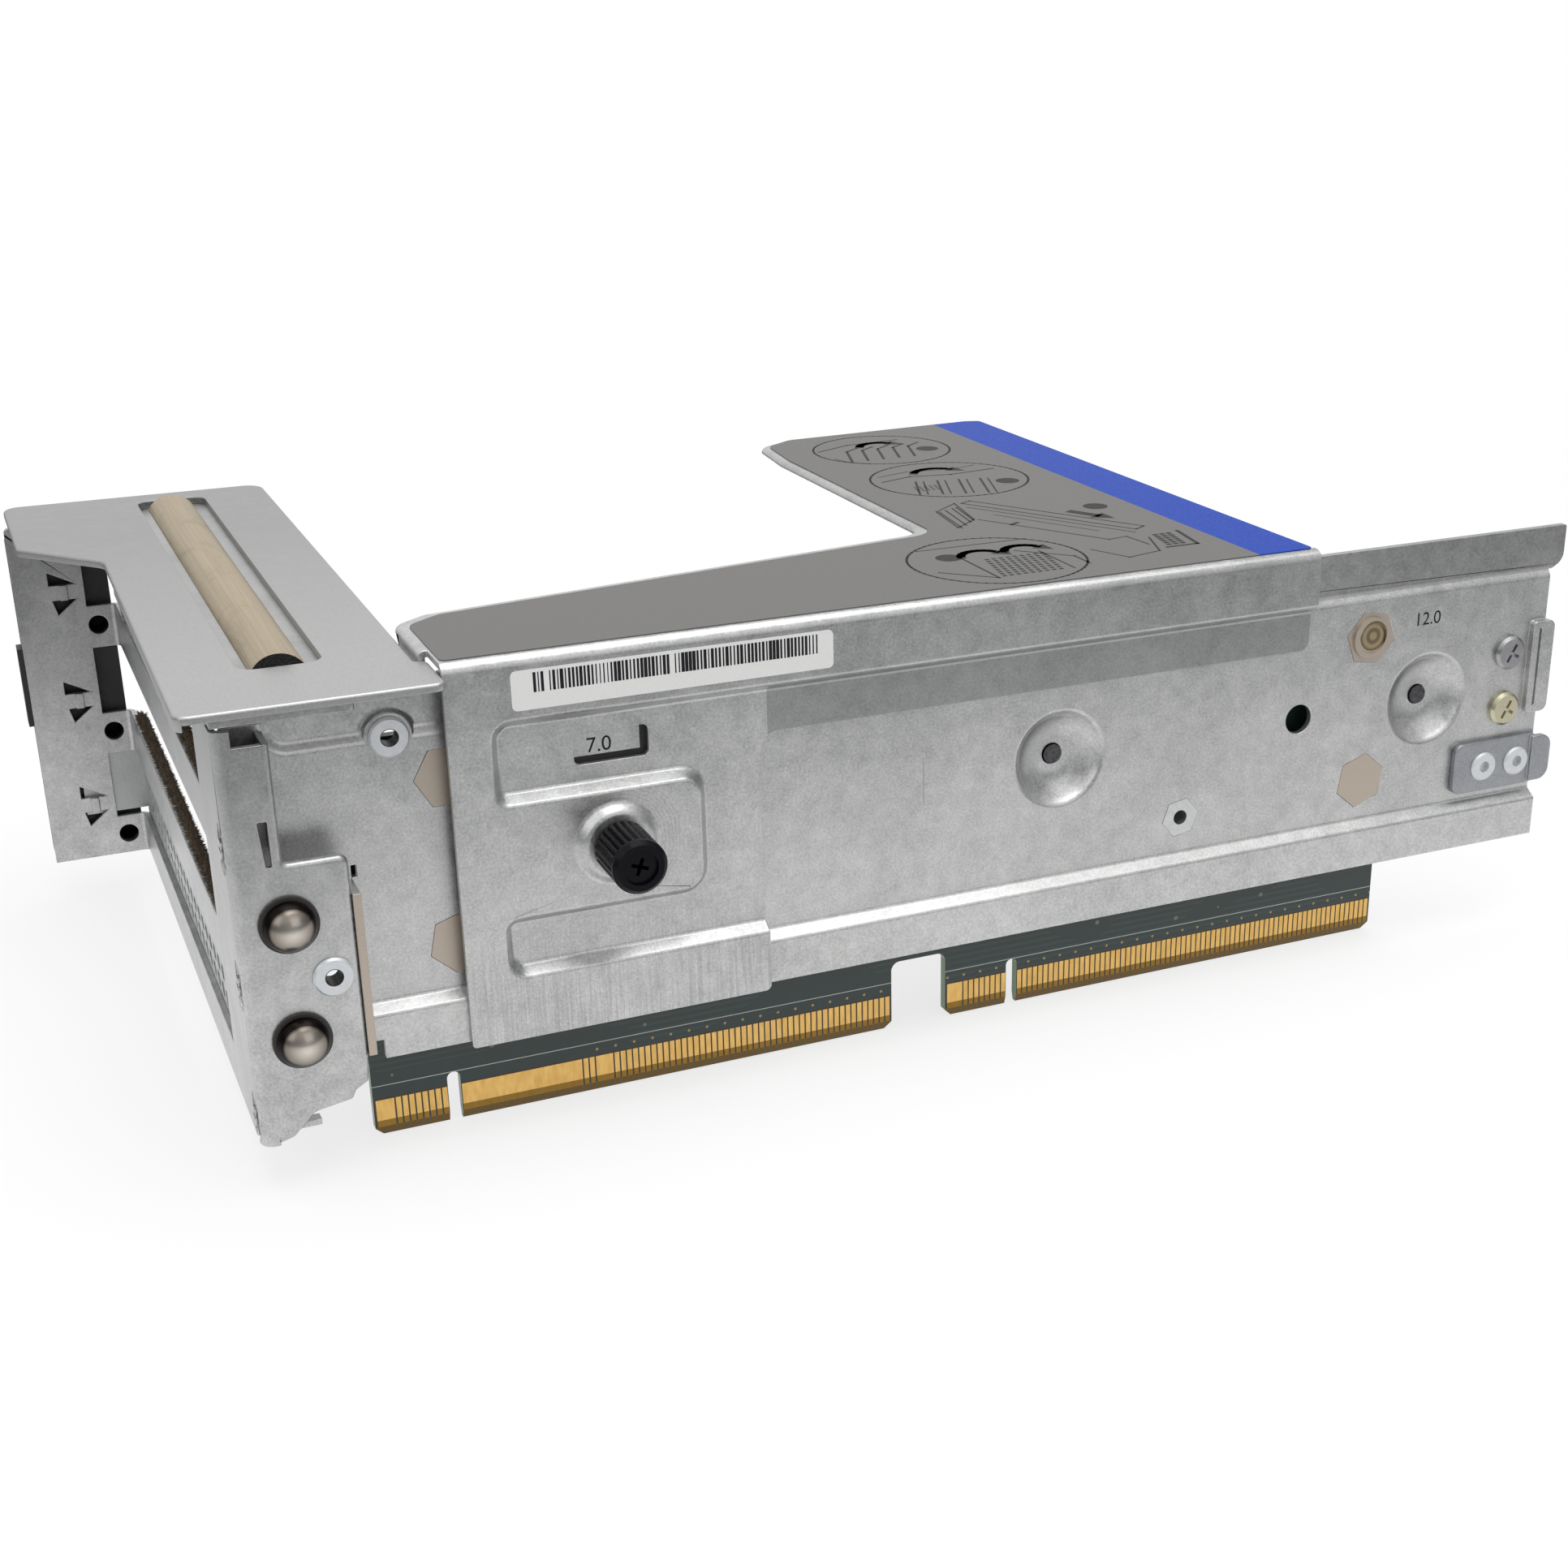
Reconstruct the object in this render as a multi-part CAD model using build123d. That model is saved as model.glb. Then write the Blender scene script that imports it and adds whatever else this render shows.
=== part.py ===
from build123d import *
import math
import os

# Riser card module for a rack server: a card-edge board stands behind a formed
# steel plate, a folded bracket carries three card windows, and an L-shaped cover
# is clamped to the plate by one captive thumbscrew.
# X runs along the card edge, Y runs away from the side of the plate that shows,
# and Z is up. While it is built, zero is the first contact, the board's front
# face and the bottom of the card edge.

os.makedirs("parts", exist_ok=True)

# Card edge and board
contact_pitch = 1.0
contact_count = 82
contact_width = 0.76
contact_t = 0.05
contact_bottom = 1.4
contact_top = 5.84
key_pin_count = 11
key_shift = 2.0
key_width = 2.0
key_top = 8.1
edge_margin = 0.75
tongue_pitch = 94.2
tongue_height = 11.7
tongue_root_r = 1.5
tongue_chamfer = 1.2
board_t = 1.6
board_down = 8.8
bevel_depth = 0.4

# Card slots and their connectors
slot_pitch = 20.32
slot_count = 3
window_bottom = 14.7
window_h = 12.5
window_near = 9.9
window_head = 2.96
window_wrap = 4.8
connector_len = 89.0
connector_w = 7.5
connector_h = 11.25
connector_from_panel = 47.3
connector_up = 1.1
connector_slot_w = 1.8
connector_slot_depth = 8.2
connector_end = 2.2
connector_key = 12.0
connector_key_w = 1.7

# Main plate
plate_t = 1.2
board_gap = 2.8
plate_left = -16.6
plate_step_x = 0.9
plate_right = 207.7
plate_bottom = 15.5
band_top = 22.4
band_out = 2.0
strip_in = 1.0
strip_h = 7.1
strip_over = 0.3
strip_left = -10.0
strip_right = 211.0
form_run = 1.3
low_down = 3.2
lip_x = -2.2
lip_bottom = 18.5
lip_top = 45.2
lip_reach = 6.2
dimple_r = 8.0
dimple_floor_r = 2.9
dimple_hole_r = 1.7
left_dimple_x = 111.7
right_dimple_x = 183.3
dimple_z = 43.8
access_hole_x = 157.1
access_hole_r = 2.5

# Standoffs between plate and board
standoff_left = 13.7
standoff_right = 170.7
standoff_low = 30.8
standoff_pitch = 25.4
standoff_flats = 8.4
standoff_body_r = 2.7
standoff_thread_r = 1.25
screw_head_r = 2.7
screw_head_t = 1.7

# Nuts and screws in the plate
press_nut_x = 134.75
press_nut_z = 29.9
press_nut_flats = 5.9
press_nut_bore_r = 1.25
round_nut_x = 6.0
round_nut_down = 7.6
round_nut_r = 2.9
round_nut_bore_r = 1.2
nut_arch = 0.5
nut_arch_run = 0.5
nut_depth = 2.2
plate_screw_x = 200.1
plate_screw_high = 49.9
plate_screw_low = 39.7
plate_screw_r = 3.0
plate_screw_head = 1.1

# End bracket at the right
end_reach = 210.4
end_len = 20.5
end_tongue = 3.2
end_bottom = 25.2
end_top = 34.4
end_t = 1.2
end_tongue_r = 2.2
end_rivet_first_in = 14.3
end_rivet_second_in = 7.2
end_rivet_r = 2.6
hook_left = 204.3
hook_groove = 1.3
hook_groove_w = 0.5
hook_right = 208.9
hook_bottom = 38.4
hook_top = 55.0

# Cover
cover_t = 1.0
cover_gap = 0.05
cover_step = 2.05
cover_over = 2.2
cover_left = 13.3
cover_right = 157.4
tab_right = 60.3
tab_bottom = 14.8
skirt_band_h = 17.3
crease_down = 10.0
cover_bend_r = 1.8
arm_left = 104.6
arm_far = 115.6
inner_left = 22.0
inner_right = 31.6
tab_pocket_left = 20.1
upper_pocket_up = 8.7
tongue_right = 50.6
lower_pocket_down = 9.9
lower_pocket_h = 8.1
mark_left = 31.8
mark_right = 43.0
mark_down = 3.3
mark_h = 4.7
end_flange_x = 12.0
end_flange_drop = 3.0

# Cover film and sticker
film_t = 0.15
film_inset = 1.7
sticker_t = 0.12
sticker_left = 22.8
sticker_right = 71.4
sticker_down = 2.2
sticker_h = 5.8
sticker_corner_r = 0.8

# Captive thumbscrew
thumb_x = 36.9
thumb_z = 43.3
dome_r = 6.3
dome_out = 1.3
knob_r = 4.1
knob_len = 9.3
knob_clear = 0.3
knob_flutes = 24
knob_flute_depth = 0.35
knob_plain = 1.2
knob_face_r = 2.6
knob_face_depth = 0.6
thumb_shank_r = 1.6
thumb_hole_clear = 0.1
thumb_thread_r = 1.4
thumb_bore_clear = 0.08
thumb_nut_r = 3.2
drive_w = 0.56
drive_depth = 1.6

# Rear bracket
bracket_t = 1.0
panel_x = -18.3
bracket_bottom = 7.3
far_y = 115.0
far_left = -35.0
near_right_gap = 0.0
near_low_top = 49.4
near_high_right = -10.9
near_high_down = 4.2
corner_down = 1.8
relief_w = 1.3
relief_h = 6.4
relief_in = 1.5
foot_right = -9.6
foot_t = 1.0
foot_h = 1.6
near_bend_r = 2.0
top_flange_right = 0.7
top_flange_far = 2.5
bracket_hole_x = -21.5
bracket_hole_r = 1.7
bracket_hole_down = 3.6
lance_x = -26.8
lance_up = 2.9
stud_x = -11.1
stud_high = 40.65
stud_low = 23.1
stud_r = 3.6
stud_skirt = 1.0
stud_dome = 2.2
stud_shank_r = 2.0
stud_clench = 0.9
rim_out = 0.55
rim_t = 0.5
flange_nut_x = -5.9
flange_nut_z = 31.8
panel_screw_y = -6.6
panel_screw_up = 7.9
panel_screw_r = 1.5

# Rear top plate and its gasket
top_plate_t = 1.2
top_near = -10.9
top_left = -22.6
top_far_left = -34.2
top_right = 11.5
ear_right = 13.2
ear_far = 0.3
top_far = 127.0
top_neck_near = 78.0
top_neck_far = 92.9
top_rim = 1.0
hem_far = 64.0
slot_left = -11.6
slot_right = 0.2
slot_near = 6.7
slot_far = 121.0
slot_r = 2.6
gasket_left = -9.9
gasket_right = -1.9
gasket_rise = 2.5
gasket_end_gap = 2.0

# Slot filler, window gaskets and retainer
filler_t = 0.8
filler_w = 18.4
filler_tab = 11.0
filler_tab_up = 0.8
filler_hole_r = 1.5
filler_hole_pitch = 4.1
filler_row_pitch = 3.6
filler_rows = 3
filler_edge = 0.5
filler_end = 3.0
gasket_strip_w = 2.6
gasket_strip_t = 0.9
retainer_t = 2.0
retainer_tab = 0.9
retainer_tab_bottom = 34.2
retainer_tab_top = 48.8
retainer_boss = 4.0
retainer_boss_r = 3.2

# Planes that follow from the sizes
field_y = -(board_gap + plate_t)
band_y = field_y - band_out
strip_y = field_y + strip_in
near_y = field_y - lip_reach
cover_low_y = field_y - cover_gap - cover_t
cover_high_y = cover_low_y - cover_step
dome_y = cover_high_y - dome_out
top_under = window_bottom + (slot_count - 1) * slot_pitch + window_h + window_head
top_plate_z = top_under + top_plate_t
strip_top = top_under + strip_over
strip_bottom = strip_top - strip_h
low_top = top_under - low_down
board_top = top_under - board_down
round_nut_z = top_under - round_nut_down
near_high_top = top_under - near_high_down
corner_top = top_under - corner_down
cover_top_z = strip_top + cover_over
skirt_band_bottom = cover_top_z - skirt_band_h
crease_z = cover_top_z - crease_down
mark_top = crease_z - mark_down
mark_bottom = mark_top - mark_h
sticker_top = cover_top_z - sticker_down
sticker_bottom = sticker_top - sticker_h
upper_pocket_bottom = thumb_z + upper_pocket_up
lower_pocket_top = thumb_z - lower_pocket_down
lower_pocket_bottom = lower_pocket_top - lower_pocket_h
contact_span = (contact_count - 1) * contact_pitch + key_shift
end_left = end_reach - end_len
end_right = end_reach - end_tongue
end_rivet_left = end_reach - end_rivet_first_in
end_rivet_right = end_reach - end_rivet_second_in
tongue_len = contact_span + 2 * edge_margin
board_left = -edge_margin
board_right = board_left + tongue_pitch + tongue_len
key_x = (key_pin_count - 1) * contact_pitch + (contact_pitch + key_shift) / 2
panel_in = panel_x + bracket_t
far_back = far_y + bracket_t


def block(x0, x1, y0, y1, z0, z1):
    return Pos((x0 + x1) / 2, (y0 + y1) / 2, (z0 + z1) / 2) * Box(x1 - x0, y1 - y0, z1 - z0)


def rod(x, z, radius, y0, y1):
    return Pos(x, (y0 + y1) / 2, z) * Rot(90, 0, 0) * Cylinder(radius, y1 - y0)


def cone(x, z, radius_near, radius_far, y0, y1):
    return Pos(x, (y0 + y1) / 2, z) * Rot(-90, 0, 0) * Cone(radius_near, radius_far, y1 - y0)


def dish(x, z, mouth_r, floor_r, y0, y1):
    depth = y1 - y0
    swell = ((mouth_r + floor_r) / 2 + depth * 0.1, depth * 0.69)
    wall = ThreePointArc((mouth_r, 0), swell, (floor_r, depth))
    section = make_face([Line((0, 0), (mouth_r, 0)), wall, Line((floor_r, depth), (0, depth)),
                         Line((0, depth), (0, 0))])
    return Pos(x, y0, z) * revolve(section, Axis.Y)


def hexagon(x, z, flats, turn, y0, y1):
    face = Pos(x, z) * RegularPolygon(flats / 2, 6, major_radius=False, rotation=turn)
    return extrude(Plane.XZ.offset(-y0) * face, amount=y1 - y0, dir=(0, 1, 0))


def shape(points, radii):
    return make_face(FilletPolyline(*points, radius=radii, close=True))


def upright(points, radii, y0, y1):
    return extrude(Plane.XZ.offset(-y0) * shape(points, radii), amount=y1 - y0, dir=(0, 1, 0))


def level(points, radii, z0, z1):
    return extrude(Pos(0, 0, z0) * shape(points, radii), amount=z1 - z0, dir=(0, 0, 1))


def flare(points, radii, y_tip, y_root, grow_tip, grow_root):
    face = shape(points, radii)
    tip = offset(face, grow_tip, kind=Kind.INTERSECTION) if grow_tip else face
    root = offset(face, grow_root, kind=Kind.INTERSECTION) if grow_root else face
    ends = [(Plane.XZ.offset(-y_tip) * tip).face(), (Plane.XZ.offset(-y_root) * root).face()]
    return loft(ends, ruled=True)


def window_z(index):
    return window_bottom + index * slot_pitch


def save(name, solid, colour):
    solid.label = name
    solid.color = Color(*colour)
    nodes.append((name, solid))


nodes = []
steel = (0.72, 0.73, 0.74)
dark_steel = (0.42, 0.43, 0.44)
gold = (0.83, 0.62, 0.24)
black = (0.05, 0.05, 0.06)
white_zinc = (0.86, 0.87, 0.88)
green = (0.05, 0.16, 0.12)

# Riser board with two keyed card-edge tongues
first_end = board_left + tongue_len
second_start = board_left + tongue_pitch
c = tongue_chamfer
outline = [
    (board_left, c), (board_left + c, 0), (first_end - c, 0), (first_end, c),
    (first_end, tongue_height), (second_start, tongue_height), (second_start, c),
    (second_start + c, 0), (board_right - c, 0), (board_right, c),
    (board_right, board_top), (board_left, board_top),
]
corner_r = [0, 0, 0, 0, tongue_root_r, tongue_root_r, 0, 0, 0, 0, 1, 1]
board = upright(outline, corner_r, 0, board_t)
for start in (0, tongue_pitch):
    notch_x = start + key_x
    board -= block(notch_x - key_width / 2, notch_x + key_width / 2, -1, board_t + 1,
                   -1, key_top - key_width / 2)
    board -= rod(notch_x, key_top - key_width / 2, key_width / 2, -1, board_t + 1)
bevel = [(-1, -1), (bevel_depth, -1), (bevel_depth, 0), (0, contact_bottom), (-1, contact_bottom)]
front_bevel = extrude(Plane.YZ * make_face(Polyline(*bevel, close=True)), amount=board_right + 2,
                      dir=(1, 0, 0))
board -= Pos(board_left - 1, 0, 0) * front_bevel
board -= Pos(board_left - 1, board_t, 0) * mirror(front_bevel, Plane.XZ)

# Gold contacts: some neighbouring power pins share one wide pad on the front
def pad_x(pin):
    shift = key_shift if pin > key_pin_count else 0
    return (pin - 1) * contact_pitch + shift


def pads(runs, start, y0, y1):
    solids = []
    for first, last in runs:
        x0 = start + pad_x(first) - contact_width / 2
        x1 = start + pad_x(last) + contact_width / 2
        solids.append(block(x0, x1, y0, y1, contact_bottom, contact_top))
    return solids


def singles(first, last):
    return [(pin, pin) for pin in range(first, last + 1)]


first_runs = [(1, 3)] + singles(4, key_pin_count) + [(key_pin_count + 1, 30), (31, 31), (32, 32), (33, 35)]
first_runs += singles(36, contact_count)
second_runs = [(1, 3)] + singles(4, contact_count)
gold_pads = pads(first_runs, 0, -contact_t, 0)
gold_pads += pads(second_runs, tongue_pitch, -contact_t, 0)
for start in (0, tongue_pitch):
    gold_pads += pads(singles(1, contact_count), start, board_t, board_t + contact_t)
contacts = Compound(children=gold_pads)

# Slot connectors on the far side, each open towards the cards
connector_x = panel_in + connector_from_panel
connectors = []
for index in range(slot_count):
    mid = window_z(index) + connector_up
    body = block(connector_x, connector_x + connector_len, board_t, board_t + connector_h,
                 mid - connector_w / 2, mid + connector_w / 2)
    body = chamfer(body.edges().filter_by(Axis.Y), 0.6)
    mouth = board_t + connector_h
    x0 = connector_x + connector_end
    x1 = connector_x + connector_key
    x2 = x1 + connector_key_w
    x3 = connector_x + connector_len - connector_end
    for a, b in ((x0, x1), (x2, x3)):
        body -= block(a, b, mouth - connector_slot_depth, mouth + 1,
                      mid - connector_slot_w / 2, mid + connector_slot_w / 2)
    connectors.append(body)

# Main plate: one pressed sheet with a set-back top strip, a proud lower band and
# two round dimples that reach the board
plate_outline = [
    (plate_step_x, plate_bottom), (plate_right, plate_bottom), (plate_right, strip_bottom - 0.2),
    (strip_right, strip_bottom - 0.2), (strip_right, strip_top), (ear_right + 0.5, strip_top),
    (ear_right + 0.5, top_under - 0.05), (5.0, top_under - 0.05), (0.2, low_top),
    (plate_left, low_top), (plate_left, lip_top), (lip_x, lip_top),
    (lip_x, lip_bottom), (plate_step_x, lip_bottom),
]
plate_corners = [0, 0, 0.5, 2.5, 0.5, 0, 0, 1.5, 1.5, 1, 1, 0, 0.5, 0]
strip_shape = [
    (strip_left, strip_bottom), (strip_right + 9, strip_bottom), (strip_right + 9, strip_top + 9),
    (strip_left - 3, strip_top + 9), (strip_left, strip_bottom + 5),
]
band_shape = [(-20, band_top), (plate_right + 9, band_top), (plate_right + 9, 0), (-20, 0)]
wall_shift = 0.41 * plate_t


def plate_body(y_shift, sheet_shift):
    solid = upright(plate_outline, plate_corners, field_y + y_shift, 0)
    band = flare(band_shape, 0, band_y + y_shift, field_y + y_shift, -sheet_shift,
                 form_run - sheet_shift)
    trim = upright(plate_outline, plate_corners, band_y + y_shift, field_y + y_shift)
    solid += band & trim
    pocket = flare(strip_shape, [2.5, 0, 0, 0, 0], strip_y + y_shift, field_y + y_shift,
                   sheet_shift, form_run + sheet_shift)
    arch_r = round_nut_r + nut_arch - sheet_shift
    pocket -= cone(round_nut_x, round_nut_z, arch_r, arch_r + nut_arch_run, field_y + y_shift,
                   strip_y + y_shift)
    solid -= pocket
    for x in (left_dimple_x, right_dimple_x):
        solid -= dish(x, dimple_z, dimple_r + sheet_shift, dimple_floor_r + sheet_shift,
                      field_y + y_shift, -plate_t + y_shift)
    return solid


plate = plate_body(0, 0) - plate_body(plate_t, wall_shift)
lip = block(lip_x, lip_x + plate_t, near_y, field_y + plate_t, lip_bottom, lip_top - 1.8)
plate += lip
plate -= block(lip_x + plate_t, lip_x + plate_t + 0.8, field_y - 1, 0, lip_top - 1.8, lip_top)
for x in (left_dimple_x, right_dimple_x):
    plate -= rod(x, dimple_z, dimple_hole_r, band_y, 1)
plate -= rod(access_hole_x, dimple_z, access_hole_r, band_y, 1)
standoffs_at = [
    (standoff_left, standoff_low + standoff_pitch, 0), (standoff_left, standoff_low, 18),
    (standoff_right, standoff_low + standoff_pitch, -10), (standoff_right, standoff_low, 20),
]
for x, z, turn in standoffs_at:
    plate -= hexagon(x, z, standoff_flats, turn, band_y, 1)
plate -= hexagon(press_nut_x, press_nut_z, press_nut_flats, 10, band_y, 1)
plate -= rod(round_nut_x, round_nut_z, round_nut_r - 0.7, band_y, 1)
plate -= rod(thumb_x, thumb_z, thumb_nut_r - 0.7, band_y, 1)
for z in (plate_screw_high, plate_screw_low):
    plate -= rod(plate_screw_x, z, plate_screw_r / 2, band_y, 1)
for x in (end_rivet_left, end_rivet_right):
    plate -= rod(x, (end_bottom + end_top) / 2, end_rivet_r / 2, band_y, 1)

# Hexagonal standoffs pressed flush into the plate, with screws from the board side
standoffs = []
standoff_screws = []
for number, (x, z, turn) in enumerate(standoffs_at):
    head = hexagon(x, z, standoff_flats, turn, field_y, field_y + plate_t)
    stem = rod(x, z, standoff_body_r, field_y + plate_t, 0)
    solid = head + stem
    if number == 2:
        solid += rod(x, z, standoff_flats / 2 - 0.6, field_y - 0.5, field_y)
        solid -= rod(x, z, standoff_flats / 2 - 1.6, field_y - 0.6, field_y - 0.25)
    solid -= rod(x, z, standoff_thread_r, field_y + 0.6, 1)
    standoffs.append(solid)
    board -= rod(x, z, standoff_thread_r + 0.1, -1, board_t + 1)
    screw = rod(x, z, screw_head_r, board_t, board_t + screw_head_t)
    screw = chamfer(screw.edges().sort_by(Axis.Y)[-1], 0.5)
    screw += rod(x, z, standoff_thread_r, field_y + plate_t, board_t)
    for turn_deg in (0, 90):
        drive = Pos(x, board_t + screw_head_t, z) * Rot(0, turn_deg, 0) * Box(2.6, 1.8, 0.6)
        screw -= drive
    standoff_screws.append(screw)

# Screws that hold the dimples against the board from behind
dimple_screws = []
for x in (left_dimple_x, right_dimple_x):
    board -= rod(x, dimple_z, dimple_hole_r, -1, board_t + 1)
    screw = rod(x, dimple_z, screw_head_r, board_t, board_t + screw_head_t)
    screw = chamfer(screw.edges().sort_by(Axis.Y)[-1], 0.5)
    screw += rod(x, dimple_z, dimple_hole_r - 0.1, -plate_t - 0.4, board_t)
    for turn_deg in (0, 90):
        drive = Pos(x, board_t + screw_head_t, dimple_z) * Rot(0, turn_deg, 0) * Box(2.6, 1.8, 0.6)
        screw -= drive
    dimple_screws.append(screw)

# Press nuts: one hexagonal, and a round one that the top strip arches over
press_nut = hexagon(press_nut_x, press_nut_z, press_nut_flats, 10, field_y, field_y + plate_t)
press_nut += rod(press_nut_x, press_nut_z, press_nut_flats / 2 - 0.3, field_y + plate_t, -0.6)
press_nut -= rod(press_nut_x, press_nut_z, press_nut_bore_r, field_y - 1, 1)
round_nut = rod(round_nut_x, round_nut_z, round_nut_r, field_y - 0.6, field_y)
round_nut = chamfer(round_nut.edges().sort_by(Axis.Y)[0], 0.3)
round_nut += rod(round_nut_x, round_nut_z, round_nut_r - 0.7, field_y, field_y + nut_depth)
round_nut -= rod(round_nut_x, round_nut_z, round_nut_bore_r, field_y - 2, 1)
thumb_nut = rod(thumb_x, thumb_z, thumb_nut_r - 0.7, field_y, -0.6)
thumb_nut += rod(thumb_x, thumb_z, thumb_nut_r, field_y + plate_t, -0.6)
thumb_nut -= rod(thumb_x, thumb_z, thumb_thread_r + thumb_bore_clear, field_y - 1, 1)


def cross_screw(x, z, radius, y_seat, head, shank):
    """Pan-head screw with a cross drive; the head stands in front of its seat."""
    solid = rod(x, z, radius, y_seat - head, y_seat)
    solid = chamfer(solid.edges().sort_by(Axis.Y)[0], head * 0.45)
    solid += rod(x, z, radius / 2, y_seat, y_seat + shank)
    for turn_deg in (30, 120):
        solid -= Pos(x, y_seat - head, z) * Rot(0, turn_deg, 0) * Box(radius * 1.15, head, 0.55)
    return solid


plate_screws = []
for z in (plate_screw_high, plate_screw_low):
    plate_screws.append(cross_screw(plate_screw_x, z, plate_screw_r, field_y, plate_screw_head,
                                    plate_t + 1))

# End bracket with a joggled tongue, and the hemmed hook behind the plate's edge
end_mid = (end_bottom + end_top) / 2
end_outline = [(end_left, end_bottom), (end_right, end_bottom), (end_right, end_top), (end_left, end_top)]
end_plate = upright(end_outline, [1.6, 0.8, 0.8, 1.6], field_y - end_t, field_y)
tongue_y = field_y - end_t / 2
end_plate += block(end_right - 1, end_reach, tongue_y - end_t, tongue_y,
                   end_bottom + 0.4, end_top - 0.4)
end_plate = fillet(end_plate.edges().filter_by(Axis.Y).group_by(Axis.X)[-1], end_tongue_r)
for x in (end_rivet_left, end_rivet_right):
    end_plate -= rod(x, end_mid, end_rivet_r / 2, field_y - 3, field_y + 1)
end_rivets = []
for x in (end_rivet_left, end_rivet_right):
    rivet = rod(x, end_mid, end_rivet_r, field_y - end_t - 0.5, field_y - end_t)
    rivet = chamfer(rivet.edges().sort_by(Axis.Y)[0], 0.3)
    rivet += rod(x, end_mid, end_rivet_r / 2, field_y - end_t, field_y + plate_t)
    rivet += rod(x, end_mid, end_rivet_r * 0.75, field_y + plate_t, field_y + plate_t + 0.5)
    rivet -= rod(x, end_mid, 1.0, field_y - 3, field_y - end_t + 0.4)
    end_rivets.append(rivet)
hook = upright([(hook_left, hook_bottom), (hook_right, hook_bottom), (hook_right, hook_top),
                (hook_left, hook_top)], [0.8, 1.4, 1.4, 0.8], field_y - plate_t, field_y)
hook += block(plate_right - 0.3, hook_right, field_y, field_y + plate_t / 2,
              hook_bottom + 1.6, hook_top - 1.6)
groove_x = hook_left + hook_groove
hook -= block(groove_x, groove_x + hook_groove_w, field_y - plate_t - 1, field_y - plate_t / 2,
              hook_bottom + hook_groove, hook_top - hook_groove)
plate += hook

# Cover: the skirt, the clamping tab and the L-shaped top are one folded sheet
fold_z = cover_top_z - 2 * cover_bend_r
fold_back = cover_high_y + cover_bend_r + 0.5
skirt_outline = [
    (cover_left, tab_bottom), (tab_right, tab_bottom), (tab_right, skirt_band_bottom),
    (cover_right, skirt_band_bottom), (cover_right, fold_z), (cover_left, fold_z),
]
skirt_corners = [0.6, 1.0, 3.0, 1.8, 0, 0]
pocket_shape = [
    (tab_pocket_left, crease_z), (tab_pocket_left, upper_pocket_bottom),
    (tongue_right, upper_pocket_bottom), (tongue_right, lower_pocket_top),
    (tab_pocket_left, lower_pocket_top), (tab_pocket_left, lower_pocket_bottom),
    (cover_right + 9, lower_pocket_bottom), (cover_right + 9, crease_z),
]
pocket_corners = [2.5, 1.6, 3.4, 3.4, 1.6, 2.5, 0, 0]
cover_shift = 0.41 * cover_t
cover_back = cover_low_y + cover_t


def cover_body(y_shift, sheet_shift):
    solid = upright(skirt_outline, skirt_corners, cover_high_y + y_shift, cover_back)
    dome = cone(thumb_x, thumb_z, dome_r - dome_out - sheet_shift, dome_r - sheet_shift,
                dome_y + y_shift, cover_high_y + y_shift)
    solid += dome
    solid -= flare(pocket_shape, pocket_corners, cover_low_y + y_shift, cover_high_y + y_shift,
                   sheet_shift - form_run / 2, sheet_shift + form_run / 2)
    return solid


cover = cover_body(0, 0) - cover_body(cover_t, cover_shift)
top_outline = [
    (cover_left, fold_back), (cover_right, fold_back), (cover_right, arm_far - 1),
    (cover_right - 3, arm_far + 1), (arm_left + 9, arm_far - 1), (arm_left + 1.5, arm_far - 5),
    (arm_left, arm_far - 20), (arm_left, inner_right + 1), (end_flange_x + 5, inner_left - 2.3),
    (end_flange_x, inner_left - 6), (end_flange_x, ear_far + 0.5), (cover_left, ear_far + 0.5),
]
top_corners = [0, 0, 1.2, 2, 3, 4, 0, 5, 3, 3, 0, 0]
cover_top = level(top_outline, top_corners, cover_top_z - cover_t, cover_top_z)
end_flange = block(end_flange_x, end_flange_x + cover_t, ear_far + 0.5, inner_left - 9,
                   cover_top_z - end_flange_drop, cover_top_z)
cover_top += end_flange
outer_end = cover_top.edges().filter_by(Axis.Y).group_by(Axis.Z)[-1].sort_by(Axis.X)[0]
cover_top = fillet(outer_end, cover_t * 0.95)
cover += cover_top
fold = [
    (cover_high_y, fold_z), (cover_high_y, cover_top_z), (fold_back, cover_top_z),
    (fold_back, cover_top_z - cover_t), (cover_high_y + cover_t, cover_top_z - cover_t),
    (cover_high_y + cover_t, fold_z),
]
fold_face = shape(fold, [0, cover_bend_r, 0, 0, cover_bend_r - cover_t, 0])
cover += extrude(Plane.YZ.offset(cover_left) * fold_face, amount=cover_right - cover_left,
                 dir=(1, 0, 0))
cover -= upright([(mark_left, mark_bottom), (mark_right, mark_bottom), (mark_right, mark_top),
                  (mark_left, mark_top)], 0.9, cover_high_y - 2, 0)
cover -= rod(thumb_x, thumb_z, thumb_shank_r + thumb_hole_clear, dome_y - 1, cover_back)

# Printed film on the cover's top and the sticker on its skirt
film_edge = cover_high_y + cover_bend_r
film_outline = [
    (end_flange_x + film_inset, film_edge), (cover_right - 0.6, film_edge),
    (cover_right - 0.6, arm_far - 1), (cover_right - 3.5, arm_far), (arm_left + 9, arm_far - 2),
    (arm_left + 3, arm_far - 6), (arm_left + film_inset, arm_far - 20),
    (arm_left + film_inset, inner_right - 1), (end_flange_x + 7, inner_left - 4.2),
    (end_flange_x + film_inset, inner_left - 8),
]
film = level(film_outline, [1, 1, 1, 2, 3, 4, 0, 5, 3, 3], cover_top_z, cover_top_z + film_t)
sticker = upright([(sticker_left, sticker_bottom), (sticker_right, sticker_bottom),
                   (sticker_right, sticker_top), (sticker_left, sticker_top)], sticker_corner_r,
                  cover_high_y - sticker_t, cover_high_y)

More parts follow.
